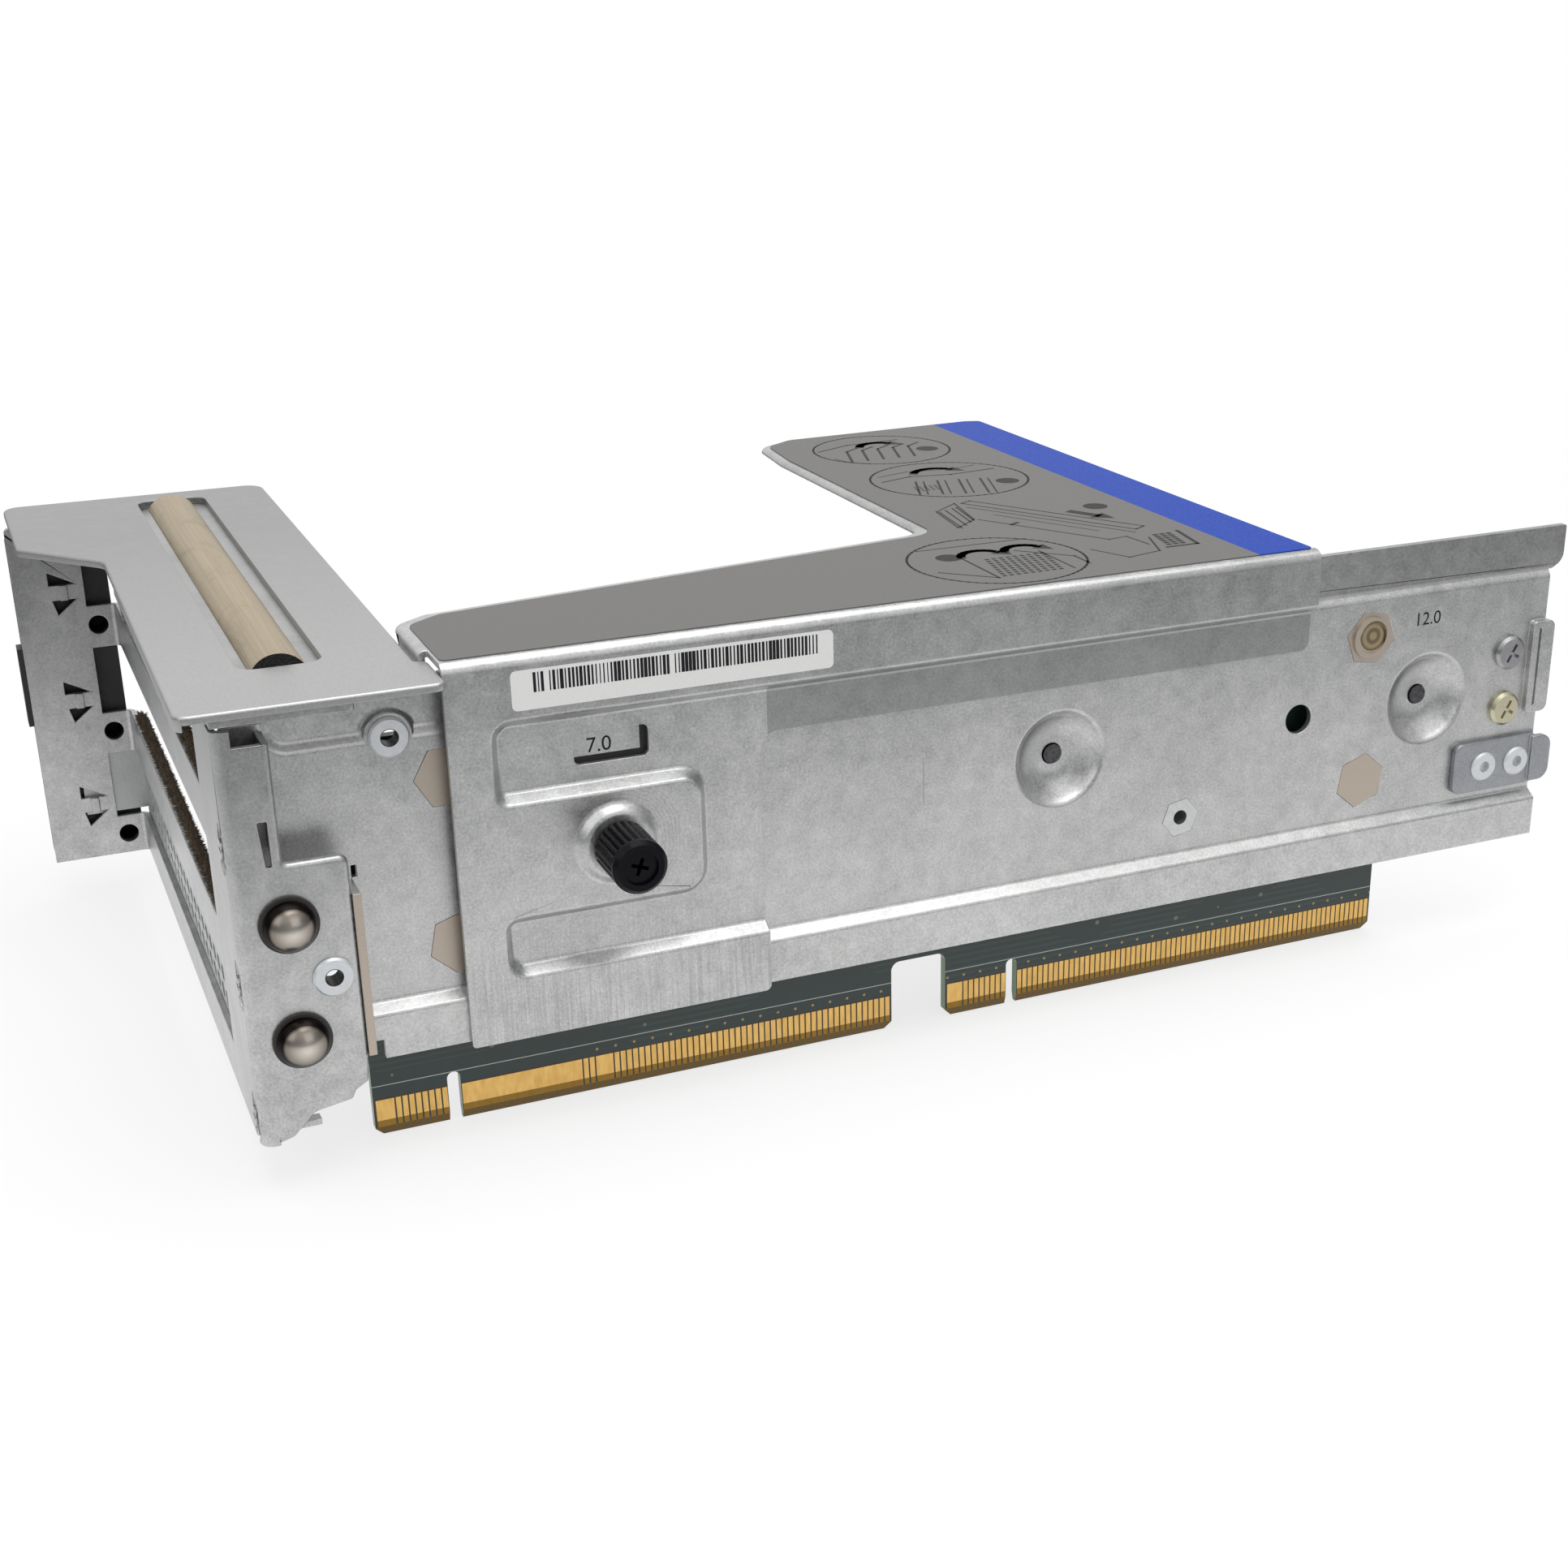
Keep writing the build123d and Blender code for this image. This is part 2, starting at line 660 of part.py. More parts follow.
# Captive thumbscrew: a fluted knob pressed on a shouldered screw
knob_back = dome_y - knob_clear
knob_front = knob_back - knob_len
knob = rod(thumb_x, thumb_z, knob_r, knob_front, knob_back)
knob = chamfer(knob.edges().group_by(Axis.Y)[0], 0.6)
knob = chamfer(knob.edges().group_by(Axis.Y)[-1], 0.4)
flute_side = knob_flute_depth * math.sqrt(2)
for flute in range(knob_flutes):
    turn = 360 * flute / knob_flutes
    groove = Pos(knob_r, 0, 0) * Rot(0, 45, 0) * Box(flute_side, knob_len, flute_side)
    knob -= Pos(thumb_x, knob_front + knob_len / 2 + knob_plain, thumb_z) * Rot(0, turn, 0) * groove
knob -= rod(thumb_x, thumb_z, thumb_shank_r + 0.8, knob_front + knob_face_depth + 2, knob_back + 1)
knob -= rod(thumb_x, thumb_z, knob_face_r, knob_front - 1, knob_front + knob_face_depth)
knob -= rod(thumb_x, thumb_z, thumb_shank_r, knob_front, knob_front + 4)
thumb_end = -0.8
thumb_shoulder = field_y - 0.3
thumb_screw = rod(thumb_x, thumb_z, thumb_shank_r + 0.8, knob_front + knob_face_depth + 2, knob_back)
thumb_screw += rod(thumb_x, thumb_z, thumb_shank_r, knob_front + knob_face_depth, thumb_shoulder)
thumb_screw += rod(thumb_x, thumb_z, thumb_thread_r, thumb_shoulder, thumb_end)
for turn_deg in (20, 110):
    thumb_screw -= Pos(thumb_x, knob_front + knob_face_depth, thumb_z) * Rot(0, turn_deg, 0) * Box(
        2 * thumb_shank_r - 0.5, 2 * drive_depth, drive_w)

# Rear bracket: the panel, both flanges and the top flange are one folded sheet
plan = [
    (far_left, far_y), (panel_x, far_y), (panel_x, near_y), (panel_x + 2.5, near_y),
    (panel_x + 2.5, near_y + bracket_t), (panel_in, near_y + bracket_t), (panel_in, far_back),
    (far_left, far_back),
]
plan_corners = [0, 0.8, near_bend_r, 0, 0, near_bend_r - bracket_t, 0.8 + bracket_t, 0]
bracket = level(plan, plan_corners, bracket_bottom, top_under)
bracket -= block(panel_x - 1, panel_x + 9, near_y - 1, near_y + 4, corner_top, top_under + 1)
near_outline = [
    (panel_x + 2.2, bracket_bottom), (-13.6, bracket_bottom + 0.7), (-10.4, 11.2), (-8.7, 11.5),
    (-5.0, 12.1), (-4.4, 13.4), (lip_x - 0.4, 14.4), (lip_x - near_right_gap, lip_bottom),
    (lip_x - near_right_gap, near_low_top), (near_high_right, near_low_top),
    (near_high_right, near_high_top), (panel_x + 2.2, near_high_top),
]
near_corners = [0, 1, 1, 0, 0.5, 0.5, 0.5, 1, 1.4, 0.8, 1.2, 0]
bracket += upright(near_outline, near_corners, near_y, near_y + bracket_t)
bracket += block(near_high_right - bracket_t, near_high_right, near_y, field_y,
                 near_low_top + 0.4, near_high_top)
bend_edge = bracket.edges().filter_by(Axis.Z).filter_by_position(
    Axis.X, near_high_right - 0.01, near_high_right + 0.01)
bend_edge = bend_edge.filter_by_position(Axis.Y, near_y - 0.01, near_y + 0.01)
bracket = fillet(bend_edge.sort_by(Edge.length)[-1], bracket_t * 0.95)
relief_x = near_high_right - relief_in
relief = [(relief_x - relief_w * 0.6, near_low_top), (relief_x, near_low_top - 0.4),
          (relief_x, near_low_top + relief_h), (relief_x - relief_w, near_low_top + relief_h)]
bracket -= upright(relief, [0.4, 0.3, 0.2, 0.2], near_y - 1, near_y + 2)
foot_z = bracket_bottom + foot_h
bracket += block(panel_in - 0.5, foot_right, near_y + bracket_t - 0.2, near_y + bracket_t + foot_h,
                 foot_z, foot_z + foot_t)
top_flange = level([(panel_x, top_near + 0.2), (top_flange_right, top_near + 0.2),
                    (top_flange_right, slot_far + top_flange_far), (panel_x, slot_far + top_flange_far)],
                   [0, 0.8, 2, 2],
                   top_under - bracket_t, top_under)
bracket += top_flange
top_bend = bracket.edges().filter_by(Axis.Y).group_by(Axis.Z)[-1].sort_by(Axis.X)[0]
bracket = fillet(top_bend, bracket_t * 0.9)
for index in range(slot_count):
    z0 = window_z(index)
    bracket -= block(panel_x - window_wrap, panel_in + 1, window_near, far_back + 1,
                     z0, z0 + window_h)
    bracket -= rod(bracket_hole_x, z0 - bracket_hole_down, bracket_hole_r, far_y - 1, far_back + 1)
    lance_z = z0 + lance_up
    upper = [(lance_x - 2.2, lance_z + 3.9), (lance_x - 2.2, lance_z + 1.5),
             (lance_x + 2.2, lance_z + 1.5)]
    lower = [(lance_x - 1.9, lance_z - 1.3), (lance_x + 2.2, lance_z - 1.3),
             (lance_x - 1.2, lance_z - 4.0)]
    bracket -= upright(upper, 0, far_y - 1, far_back + 1)
    bracket -= upright(lower, 0, far_y - 1, far_back + 1)
    strap = block(lance_x - 0.6, lance_x + 0.8, far_y - 0.5, far_y, lance_z - 1.3, lance_z + 1.5)
    bracket += strap
    hollow = Pos(panel_x, panel_screw_y, z0 - panel_screw_up + 4.2) * Rot(0, 90, 0)
    bracket -= hollow * extrude(SlotOverall(7.6, 4.2), amount=0.35, both=True)
    bracket -= hollow * Cylinder(panel_screw_r * 0.6, 6)
for z in (stud_high, stud_low):
    bracket -= rod(stud_x, z, stud_shank_r, near_y - 1, near_y + 2)
bracket -= rod(flange_nut_x, flange_nut_z, round_nut_r - 0.7, near_y - 1, near_y + 2)

# Guide studs with dark rims and the flanged spacer nut, from the flange to the plate
studs = []
rims = []
crown_r = (stud_r ** 2 + stud_dome ** 2) / (2 * stud_dome)
stud_front = near_y - rim_t - stud_skirt - stud_dome
for z in (stud_high, stud_low):
    crown = Pos(stud_x, stud_front + crown_r, z) * Sphere(crown_r)
    stud = rod(stud_x, z, stud_r, stud_front, near_y - rim_t) & crown
    stud += rod(stud_x, z, stud_shank_r, near_y - rim_t, near_y + bracket_t + stud_clench)
    stud += rod(stud_x, z, stud_shank_r + stud_clench, near_y + bracket_t,
                near_y + bracket_t + stud_clench)
    studs.append(stud)
    rim = rod(stud_x, z, stud_r + rim_out, near_y - rim_t, near_y)
    rims.append(rim - rod(stud_x, z, stud_shank_r, near_y - 2, near_y + 1))
flange_nut = rod(flange_nut_x, flange_nut_z, round_nut_r, near_y - 0.6, near_y)
flange_nut = chamfer(flange_nut.edges().sort_by(Axis.Y)[0], 0.3)
flange_nut += rod(flange_nut_x, flange_nut_z, round_nut_r - 0.7, near_y, near_y + bracket_t + 2)
flange_nut -= rod(flange_nut_x, flange_nut_z, round_nut_bore_r, near_y - 2, near_y + 9)

# Small screws in oval hollows of the panel
panel_screws = []
for index in range(slot_count):
    place = Pos(panel_x + 0.35, panel_screw_y, window_z(index) - panel_screw_up + 4.2)
    place = place * Rot(0, -90, 0)
    screw = place * Cylinder(panel_screw_r, 0.5, align=(Align.CENTER, Align.CENTER, Align.MIN))
    screw += place * Pos(0, 0, -2.2) * Cylinder(panel_screw_r * 0.6, 2.2, align=(
        Align.CENTER, Align.CENTER, Align.MIN))
    screw -= place * Pos(0, 0, 0.5) * Box(1.6, 0.4, 0.5)
    screw -= place * Pos(0, 0, 0.5) * Box(0.4, 1.6, 0.5)
    panel_screws.append(screw)

# Rear top plate with a long opening for the gasket
top_outline = [
    (top_left, top_near), (ear_right, top_near), (ear_right, ear_far), (top_right, ear_far + 0.6),
    (top_right, top_far), (top_far_left, top_far), (top_far_left, top_neck_far),
    (top_left + 0.8, top_neck_near),
]
top_plate = level(top_outline, [2, 1.5, 1.2, 0.4, 3.5, 3, 3, 4], top_under, top_plate_z)
hem = level(top_outline, [2, 1.5, 1.2, 0.4, 3.5, 3, 3, 4], top_under - top_rim, top_under)
hem -= block(top_left + top_rim, ear_right + 1, top_near - 1, top_far + 1, 0, top_plate_z)
hem -= block(top_far_left - 1, ear_right + 1, hem_far, top_far + 1, 0, top_plate_z)
top_plate += hem
top_plate = fillet(top_plate.faces().sort_by(Axis.Z)[-1].edges(), 0.5)
slot = [(slot_left, slot_near), (slot_right, slot_near), (slot_right, slot_far), (slot_left, slot_far)]
top_plate -= level(slot, slot_r, top_under - 2, top_plate_z + 1)

# Half-round gasket lying in that opening, on the bracket's top flange
gasket_w = gasket_right - gasket_left
gasket_section = [(gasket_left, top_under), (gasket_right, top_under)]
gasket_arc = ThreePointArc((gasket_right, top_under),
                           ((gasket_left + gasket_right) / 2, top_under + gasket_rise),
                           (gasket_left, top_under))
gasket_face = make_face([Line(*gasket_section), gasket_arc])
gasket = extrude(Plane.XZ.offset(-slot_near - gasket_end_gap) * gasket_face,
                 amount=slot_far - slot_near - 2 * gasket_end_gap, dir=(0, 1, 0))

# Perforated filler that closes the lowest window from inside
fill_low = window_z(0) + window_h / 2 - filler_w / 2
fill_near = window_near - 11
filler = block(panel_in, panel_in + filler_t, fill_near, far_back + filler_t, fill_low,
               fill_low + filler_w)
filler += block(panel_in - filler_tab, panel_in + filler_t, far_back, far_back + filler_t,
                window_z(0) + filler_tab_up, window_z(0) + window_h + filler_tab_up)
filler_mid = window_z(0) + window_h / 2
field_near = window_near + filler_end
field_far = far_y - filler_end
field_low = window_z(0) + filler_edge
field_high = window_z(0) + window_h - filler_edge
hole_count = int((field_far - field_near - filler_end) / filler_hole_pitch)
filler -= block(panel_x, panel_in + filler_t + 1, field_near, field_far, field_low, field_high)
circles = []
for row in range(filler_rows):
    row_z = filler_mid + (row - (filler_rows - 1) / 2) * filler_row_pitch
    for column in range(hole_count):
        column_y = field_near + filler_end + (column + row % 2 / 2) * filler_hole_pitch
        circles.append(Pos(column_y, row_z) * RegularPolygon(filler_hole_r, 6))
mesh_sheet = make_face(Polyline((field_near, field_low), (field_far, field_low),
                                (field_far, field_high), (field_near, field_high), close=True))
filler += extrude(Plane.YZ.offset(panel_in) * (mesh_sheet - circles), amount=filler_t,
                  dir=(1, 0, 0))

# Conductive gasket strips along the inner upper edge of each bar
bar_gaskets = []
for index in range(1, slot_count):
    top = window_z(index)
    bar_gaskets.append(block(panel_in, panel_in + gasket_strip_t, window_near, far_y - 4,
                             top - gasket_strip_w, top + 0.3))

# Card retainer behind the far flange
back = far_back + filler_t + 0.05
retainer_back = back + retainer_t
retainer = upright([(far_left, bracket_bottom + 0.5), (panel_x - 0.4, bracket_bottom + 0.5),
                    (panel_x - 0.4, top_under - 1.5), (far_left, top_under - 1.5)], 1.5,
                   back, retainer_back)
retainer += block(far_left - retainer_tab, far_left - 0.05, far_y + 0.2, retainer_back,
                  retainer_tab_bottom, retainer_tab_top)
retainer += block(far_left - retainer_tab, far_left + 2, back, retainer_back,
                  retainer_tab_bottom, retainer_tab_top)
for index in range(slot_count):
    boss_z = window_z(index) - bracket_hole_down
    retainer += rod(bracket_hole_x, boss_z, retainer_boss_r, back, retainer_back + retainer_boss)
    retainer -= rod(bracket_hole_x, boss_z, bracket_hole_r + 0.1, back - 1,
                    retainer_back + retainer_boss - 1)

save("riser_board", board, green)
save("gold_contacts", contacts, gold)
for index, body in enumerate(connectors):
    save("slot_connector_%d" % (index + 1), body, black)
save("main_plate", plate, steel)
save("hex_standoffs", Compound(children=standoffs), white_zinc)
save("standoff_screws", Compound(children=standoff_screws), white_zinc)
save("dimple_screws", Compound(children=dimple_screws), dark_steel)
save("press_nut", press_nut, white_zinc)
save("round_nut", round_nut, white_zinc)
save("thumbscrew_nut", thumb_nut, white_zinc)
save("plate_screws", Compound(children=plate_screws), white_zinc)
save("end_bracket", end_plate, dark_steel)
save("end_rivets", Compound(children=end_rivets), white_zinc)
save("cover", cover, steel)
save("cover_film", film, dark_steel)
save("barcode_sticker", sticker, white_zinc)
save("thumbscrew_knob", knob, black)
save("thumbscrew_screw", thumb_screw, black)
save("rear_bracket", bracket, steel)
save("guide_studs", Compound(children=studs), white_zinc)
save("stud_rims", Compound(children=rims), black)
save("flange_nut", flange_nut, white_zinc)
save("panel_screws", Compound(children=panel_screws), white_zinc)
save("rear_top_plate", top_plate, steel)
save("top_gasket", gasket, (0.72, 0.63, 0.48))
save("slot_filler", filler, steel)
save("bar_gaskets", Compound(children=bar_gaskets), (0.3, 0.25, 0.2))
save("slot_retainer", retainer, black)

# The finished module is moved so that the middle of its base is the origin
boxes = [solid.bounding_box() for name, solid in nodes]
low = [min(getattr(b.min, axis) for b in boxes) for axis in ("X", "Y", "Z")]
high = [max(getattr(b.max, axis) for b in boxes) for axis in ("X", "Y", "Z")]
shift = Pos(-(low[0] + high[0]) / 2, -(low[1] + high[1]) / 2, -low[2])
for name, solid in nodes:
    placed = shift * solid
    placed.label = name
    export_step(placed, "parts/%s.step" % name)
print("size", [round(high[i] - low[i], 2) for i in range(3)])
print("datum moved by", [round(v, 3) for v in tuple(shift.position)])
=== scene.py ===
import math

import bmesh
import bpy
from mathutils import Matrix, Vector


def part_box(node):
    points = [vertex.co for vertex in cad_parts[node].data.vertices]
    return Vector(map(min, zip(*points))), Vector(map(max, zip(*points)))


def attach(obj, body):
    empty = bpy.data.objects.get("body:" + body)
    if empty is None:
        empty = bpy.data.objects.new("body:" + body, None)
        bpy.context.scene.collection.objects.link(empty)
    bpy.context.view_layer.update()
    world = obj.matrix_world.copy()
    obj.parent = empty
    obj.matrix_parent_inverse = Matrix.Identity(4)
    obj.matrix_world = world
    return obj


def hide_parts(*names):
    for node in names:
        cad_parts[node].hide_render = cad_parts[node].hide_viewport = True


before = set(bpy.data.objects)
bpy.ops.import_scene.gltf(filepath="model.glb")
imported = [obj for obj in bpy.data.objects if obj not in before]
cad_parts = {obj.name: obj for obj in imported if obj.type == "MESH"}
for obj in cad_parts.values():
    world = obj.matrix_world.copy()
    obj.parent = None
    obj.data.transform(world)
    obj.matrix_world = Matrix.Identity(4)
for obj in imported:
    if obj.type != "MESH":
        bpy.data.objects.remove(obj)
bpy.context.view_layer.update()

# Riser board: a dark green glass-fibre board, screwed to the main plate's standoffs.
# Its edges are bare laminate, a white line is printed above the contacts, and the
# contacts' plating runs on down the ground bevel.
MM = 0.001
DATUM = Vector((-87.55, -54.5, 0.0))


def at(x, y, z):
    """A place given in millimetres from the first contact, as metres in the frame."""
    return (Vector((x, y, z)) + DATUM) * MM


class Grade:
    """A value that changes over a surface; arithmetic on it adds Math nodes."""

    def __init__(self, wiring, socket):
        self.wiring = wiring
        self.socket = socket

    def math(self, operation, *values):
        settings = {"operation": operation}
        return self.wiring.node("ShaderNodeMath", settings, dict(enumerate(values)))

    def __add__(self, other):
        return self.math("ADD", self, other)

    def __sub__(self, other):
        return self.math("SUBTRACT", self, other)

    def __rsub__(self, other):
        return self.math("SUBTRACT", other, self)

    def __mul__(self, other):
        return self.math("MULTIPLY", self, other)

    def __truediv__(self, other):
        return self.math("DIVIDE", self, other)

    def __rtruediv__(self, other):
        return self.math("DIVIDE", other, self)

    def __pow__(self, other):
        return self.math("POWER", self, other)

    def __gt__(self, other):
        return self.math("GREATER_THAN", self, other)

    def __lt__(self, other):
        return self.math("LESS_THAN", self, other)

    def __abs__(self):
        return self.math("ABSOLUTE", self)

    __radd__ = __add__
    __rmul__ = __mul__

    def remainder(self):
        return self.math("FRACT", self)

    def sine(self):
        return self.math("SINE", self)

    def output(self, name):
        """Another output of the node that this value comes from."""
        return Grade(self.wiring, self.socket.node.outputs[name])


class Wiring:
    """The nodes of one finish, pattern or room."""

    def __init__(self, tree):
        self.tree = tree

    def node(self, kind, settings=None, sockets=None, out=0):
        made = self.tree.nodes.new(kind)
        for name, value in (settings or {}).items():
            if name == "stops":
                ramp = made.color_ramp
                ramp.elements[0].position, ramp.elements[0].color = value[0]
                ramp.elements[1].position, ramp.elements[1].color = value[-1]
                for position, colour in value[1:-1]:
                    ramp.elements.new(position).color = colour
            else:
                setattr(made, name, value)
        for key, value in (sockets or {}).items():
            self.feed(made.inputs[key], value)
        if made.outputs:
            return Grade(self, made.outputs[out])

    def feed(self, socket, value):
        if isinstance(value, Grade):
            self.tree.links.new(value.socket, socket)
        elif socket.type == "RGBA" and len(value) == 3:
            socket.default_value = (*value, 1.0)
        else:
            socket.default_value = value

    def split(self, vector):
        apart = self.node("ShaderNodeSeparateXYZ", None, {0: vector})
        return [apart.output(axis) for axis in "XYZ"]

    def blend(self, amount, first, second):
        """The first colour where the amount is nought, and the second where it is one."""
        colours = {0: amount, 6: first, 7: second}
        return self.node("ShaderNodeMix", {"data_type": "RGBA"}, colours, 2)

    def span(self, value, low, high, low_to=0.0, high_to=1.0):
        """A value that runs from low_to to high_to as the given one goes from low to high."""
        values = {0: value, 1: low, 2: high, 3: low_to, 4: high_to}
        return self.node("ShaderNodeMapRange", {"clamp": True}, values)


class Finish(Wiring):
    """A material made node by node round one Principled shader."""

    def __init__(self, name, colour, roughness, metallic=0.0, **sockets):
        self.material = bpy.data.materials.new(name)
        self.material.use_nodes = True
        super().__init__(self.material.node_tree)
        self.shader = self.tree.nodes["Principled BSDF"]
        self.place = self.node("ShaderNodeTexCoord", out="Object")
        self.paint("Base Color", colour)
        self.paint("Roughness", roughness)
        self.paint("Metallic", metallic)
        for socket, value in sockets.items():
            self.paint(socket.replace("_", " "), value)

    def paint(self, socket, value):
        self.feed(self.shader.inputs[socket], value)

    def clouds(self, scale, detail=3.0, rough=0.55, stretch=(1, 1, 1), warp=0.0):
        spread = self.node("ShaderNodeMapping", None, {0: self.place, "Scale": stretch})
        values = {"Vector": spread, "Scale": scale, "Detail": detail, "Roughness": rough,
                  "Distortion": warp}
        return self.node("ShaderNodeTexNoise", None, values)

    def cells(self, scale, scatter=1.0):
        """How far a spot is from the middle of its cell."""
        values = {"Vector": self.place, "Scale": scale, "Randomness": scatter}
        return self.node("ShaderNodeTexVoronoi", None, values, "Distance")

    def metres(self):
        return self.split(self.place)

    def millimetres(self):
        """How far a spot is along, behind and above the first contact."""
        return [metres / MM - start for metres, start in zip(self.metres(), DATUM)]

    def facing(self):
        return self.split(self.node("ShaderNodeNewGeometry", out="True Normal"))

    def mottle(self, grain, first, second):
        self.paint("Base Color", self.blend(grain, first, second))

    def roughen(self, grain, smooth, rough):
        self.paint("Roughness", self.span(grain, 0.3, 0.7, smooth, rough))

    def bump(self, height, depth, strength=1.0):
        values = {"Height": height, "Distance": depth, "Strength": strength}
        self.paint("Normal", self.node("ShaderNodeBump", None, values))


def reach(first, second):
    """How far a spot is from a middle, from its distances along two square axes."""
    return (first * first + second * second) ** 0.5


def dress(node, finish):
    """Gives a carried-over node its finish in place of its plain one."""
    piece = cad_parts[node]
    piece.data.materials.clear()
    piece.data.materials.append(finish.material)
    return piece


mask_dark = (0.012, 0.028, 0.025)
mask_light = (0.019, 0.042, 0.037)
laminate = (0.16, 0.26, 0.14)
bevel_gold = (0.15, 0.08, 0.014)
bevel_gap = (0.07, 0.075, 0.03)
bevel_top = 1.42
pads_top = 6.2
via_band_foot, via_band_top = 9.2, 15.0
via_row_height = 7.0
via_row_pitch = 3.0
via_radius = 0.2236
via_row_start = 33.0
print_height = 8.15
board_finish = Finish("green_board", mask_dark, 0.34, Coat_Weight=0.25, Coat_Roughness=0.12)
run, depth, height = board_finish.millimetres()
weave = board_finish.clouds(2600.0, detail=2.0, rough=0.5)
bundles = board_finish.clouds(38.0, detail=1.0, rough=0.4, stretch=(1.0, 1.0, 2.4))
lane = (height * 0.9 + 40.0).remainder()
tracks = (abs(lane - 0.5) < 0.2) * (bundles > 0.48)
mask = board_finish.blend(tracks, mask_dark, mask_light)
via = board_finish.cells(210.0, scatter=0.7) < 0.085
via_band = (height > via_band_foot) * (height < via_band_top)
mask = board_finish.blend(via * via_band * 0.8, mask, (0.13, 0.2, 0.15))
via_step = (run / via_row_pitch + 40.2).remainder()
ring_via = reach((via_step - 0.5) * via_row_pitch, height - via_row_height) < via_radius
mask = board_finish.blend(ring_via * (run > via_row_start) * 0.9, mask, (0.42, 0.27, 0.1))
between_pads = (height > bevel_top) * (height < pads_top)
mask = board_finish.blend(between_pads * 0.85, mask, (0.024, 0.017, 0.008))
print_line = abs(height - print_height) < 0.07
mask = board_finish.blend(print_line * 0.75, mask, (0.55, 0.6, 0.56))
front_facing = board_finish.facing()[1]
side = abs(front_facing) < 0.35
mask = board_finish.blend(side, mask, laminate)
ground = (height < bevel_top) * (1.0 - side)
tooth = (run + 200.5).remainder()
ground_teeth = ground * (abs(tooth - 0.5) < 0.38)
mask = board_finish.blend(ground, mask, bevel_gap)
board_finish.mottle(ground_teeth, mask, bevel_gold)
board_finish.paint("Metallic", ground_teeth * 0.8)
board_finish.roughen(weave, 0.3, 0.42)
board_finish.bump(weave, 0.00002, 0.4)
dress("riser_board", board_finish)

# Gold contacts: hard gold plated on the board's copper pads on both faces of the two
# tongues. They are faintly wiped by the server's own sockets, and the pads' lowest band
# is painted darker as shade.
gold_light = (0.8, 0.51, 0.17)
gold_dark = (0.68, 0.41, 0.12)
gold_shade = (0.2, 0.11, 0.02)
gold_shade_top = 2.45
contact_finish = Finish("gold_plate", gold_light, 0.3, 1.0)
wipe = contact_finish.clouds(700.0, detail=2.0, rough=0.5, stretch=(2.0, 1.0, 0.6))
run, depth, height = contact_finish.millimetres()
plating = contact_finish.blend(contact_finish.span(wipe, 0.3, 0.75), gold_light, gold_dark)
# Painted shade: the pads' lowest band is darkened, as if in shadow.
contact_finish.mottle((height < gold_shade_top) * 0.85, plating, gold_shade)
contact_finish.roughen(wipe, 0.26, 0.38)
dress("gold_contacts", contact_finish)

# Slot connectors: three black moulded housings with one keyed slot each. They are
# soldered to the back of the board, one behind each card window.
moulded = Finish("connector_moulding", (0.018, 0.018, 0.02), 0.45)
flow = moulded.clouds(1400.0, detail=4.0, rough=0.6)
moulded.roughen(flow, 0.38, 0.55)
moulded.bump(flow, 0.00002, 0.5)
for number in (1, 2, 3):
    dress("slot_connector_%d" % number, moulded)

# Main plate: galvanised sheet steel, pressed with a set-back top strip, a proud lower
# band and two dimples. Every bend is softly rounded and every cut edge has a burr.
zinc_light = (0.7, 0.705, 0.695)
zinc_dark = (0.38, 0.387, 0.382)
zinc_shade = (0.2, 0.2, 0.205)
zinc_metallic = 0.92


def zinc(name, light=zinc_light, dark=zinc_dark, roughness=0.35, mottle=0.6, speck=1.5):
    """Galvanised sheet: broad clouds, finger-wide blotches and a fine bright grain."""
    finish = Finish(name, light, roughness, zinc_metallic)
    clouds = finish.clouds(45.0, rough=0.6, warp=0.8)
    blotches = finish.clouds(330.0, detail=4.0, rough=0.65, warp=0.4)
    grain = finish.clouds(2600.0, detail=2.0, rough=0.6)
    tone = (clouds - 0.5) * 1.2 * mottle + (blotches - 0.5) * 1.7 * mottle
    tone = tone + (grain - 0.5) * 0.9 * speck + 0.5
    finish.mottle(finish.span(tone, 0.0, 1.0), dark, light)
    finish.roughen(blotches * 0.6 + grain * 0.4, roughness - 0.06, roughness + 0.1)
    finish.bump(grain, 0.00002, 0.5)
    return finish


def tint(finish, amount, colour=zinc_shade):
    """Turns a zinc finish to another colour where the amount rises from nought to one."""
    zinc_colour = Grade(finish, finish.shader.inputs["Base Color"].links[0].from_socket)
    finish.mottle(amount, zinc_colour, colour)


window_left, window_right = 30.5, 44.5
window_foot, window_top = 54.0, 61.0
number_right, number_foot = 42.0, 56.2


def window_shadow(finish):
    """The painted shadow beside the number that shows in the cover's small window."""
    run, depth, height = finish.millimetres()
    across = (run > window_left) * (run < window_right)
    window = across * (height > window_foot) * (height < window_top)
    number = (run < number_right) * (height > number_foot)
    return window * (1.0 - number)


def show(name, data):
    """Puts a mesh, lamp or camera into the scene under its own name."""
    thing = bpy.data.objects.new(name, data)
    bpy.context.scene.collection.objects.link(thing)
    return thing


def plain_mesh(piece):
    """The mesh that a piece's curve or modifiers make."""
    made = piece.evaluated_get(bpy.context.evaluated_depsgraph_get())
    return bpy.data.meshes.new_from_object(made)


def settle(piece, name):
    """Leaves the piece as the plain mesh that its modifiers made."""
    mesh = plain_mesh(piece)
    piece.modifiers.clear()
    piece.data = mesh
    mesh.name = name


least_bend = math.radians(30)
cut_bend = math.radians(72)
flat_bend = math.radians(1.5)
merge_reach = 0.002 * MM
pressed_along = 1
flat_share, slope_share = 0.97, 0.25


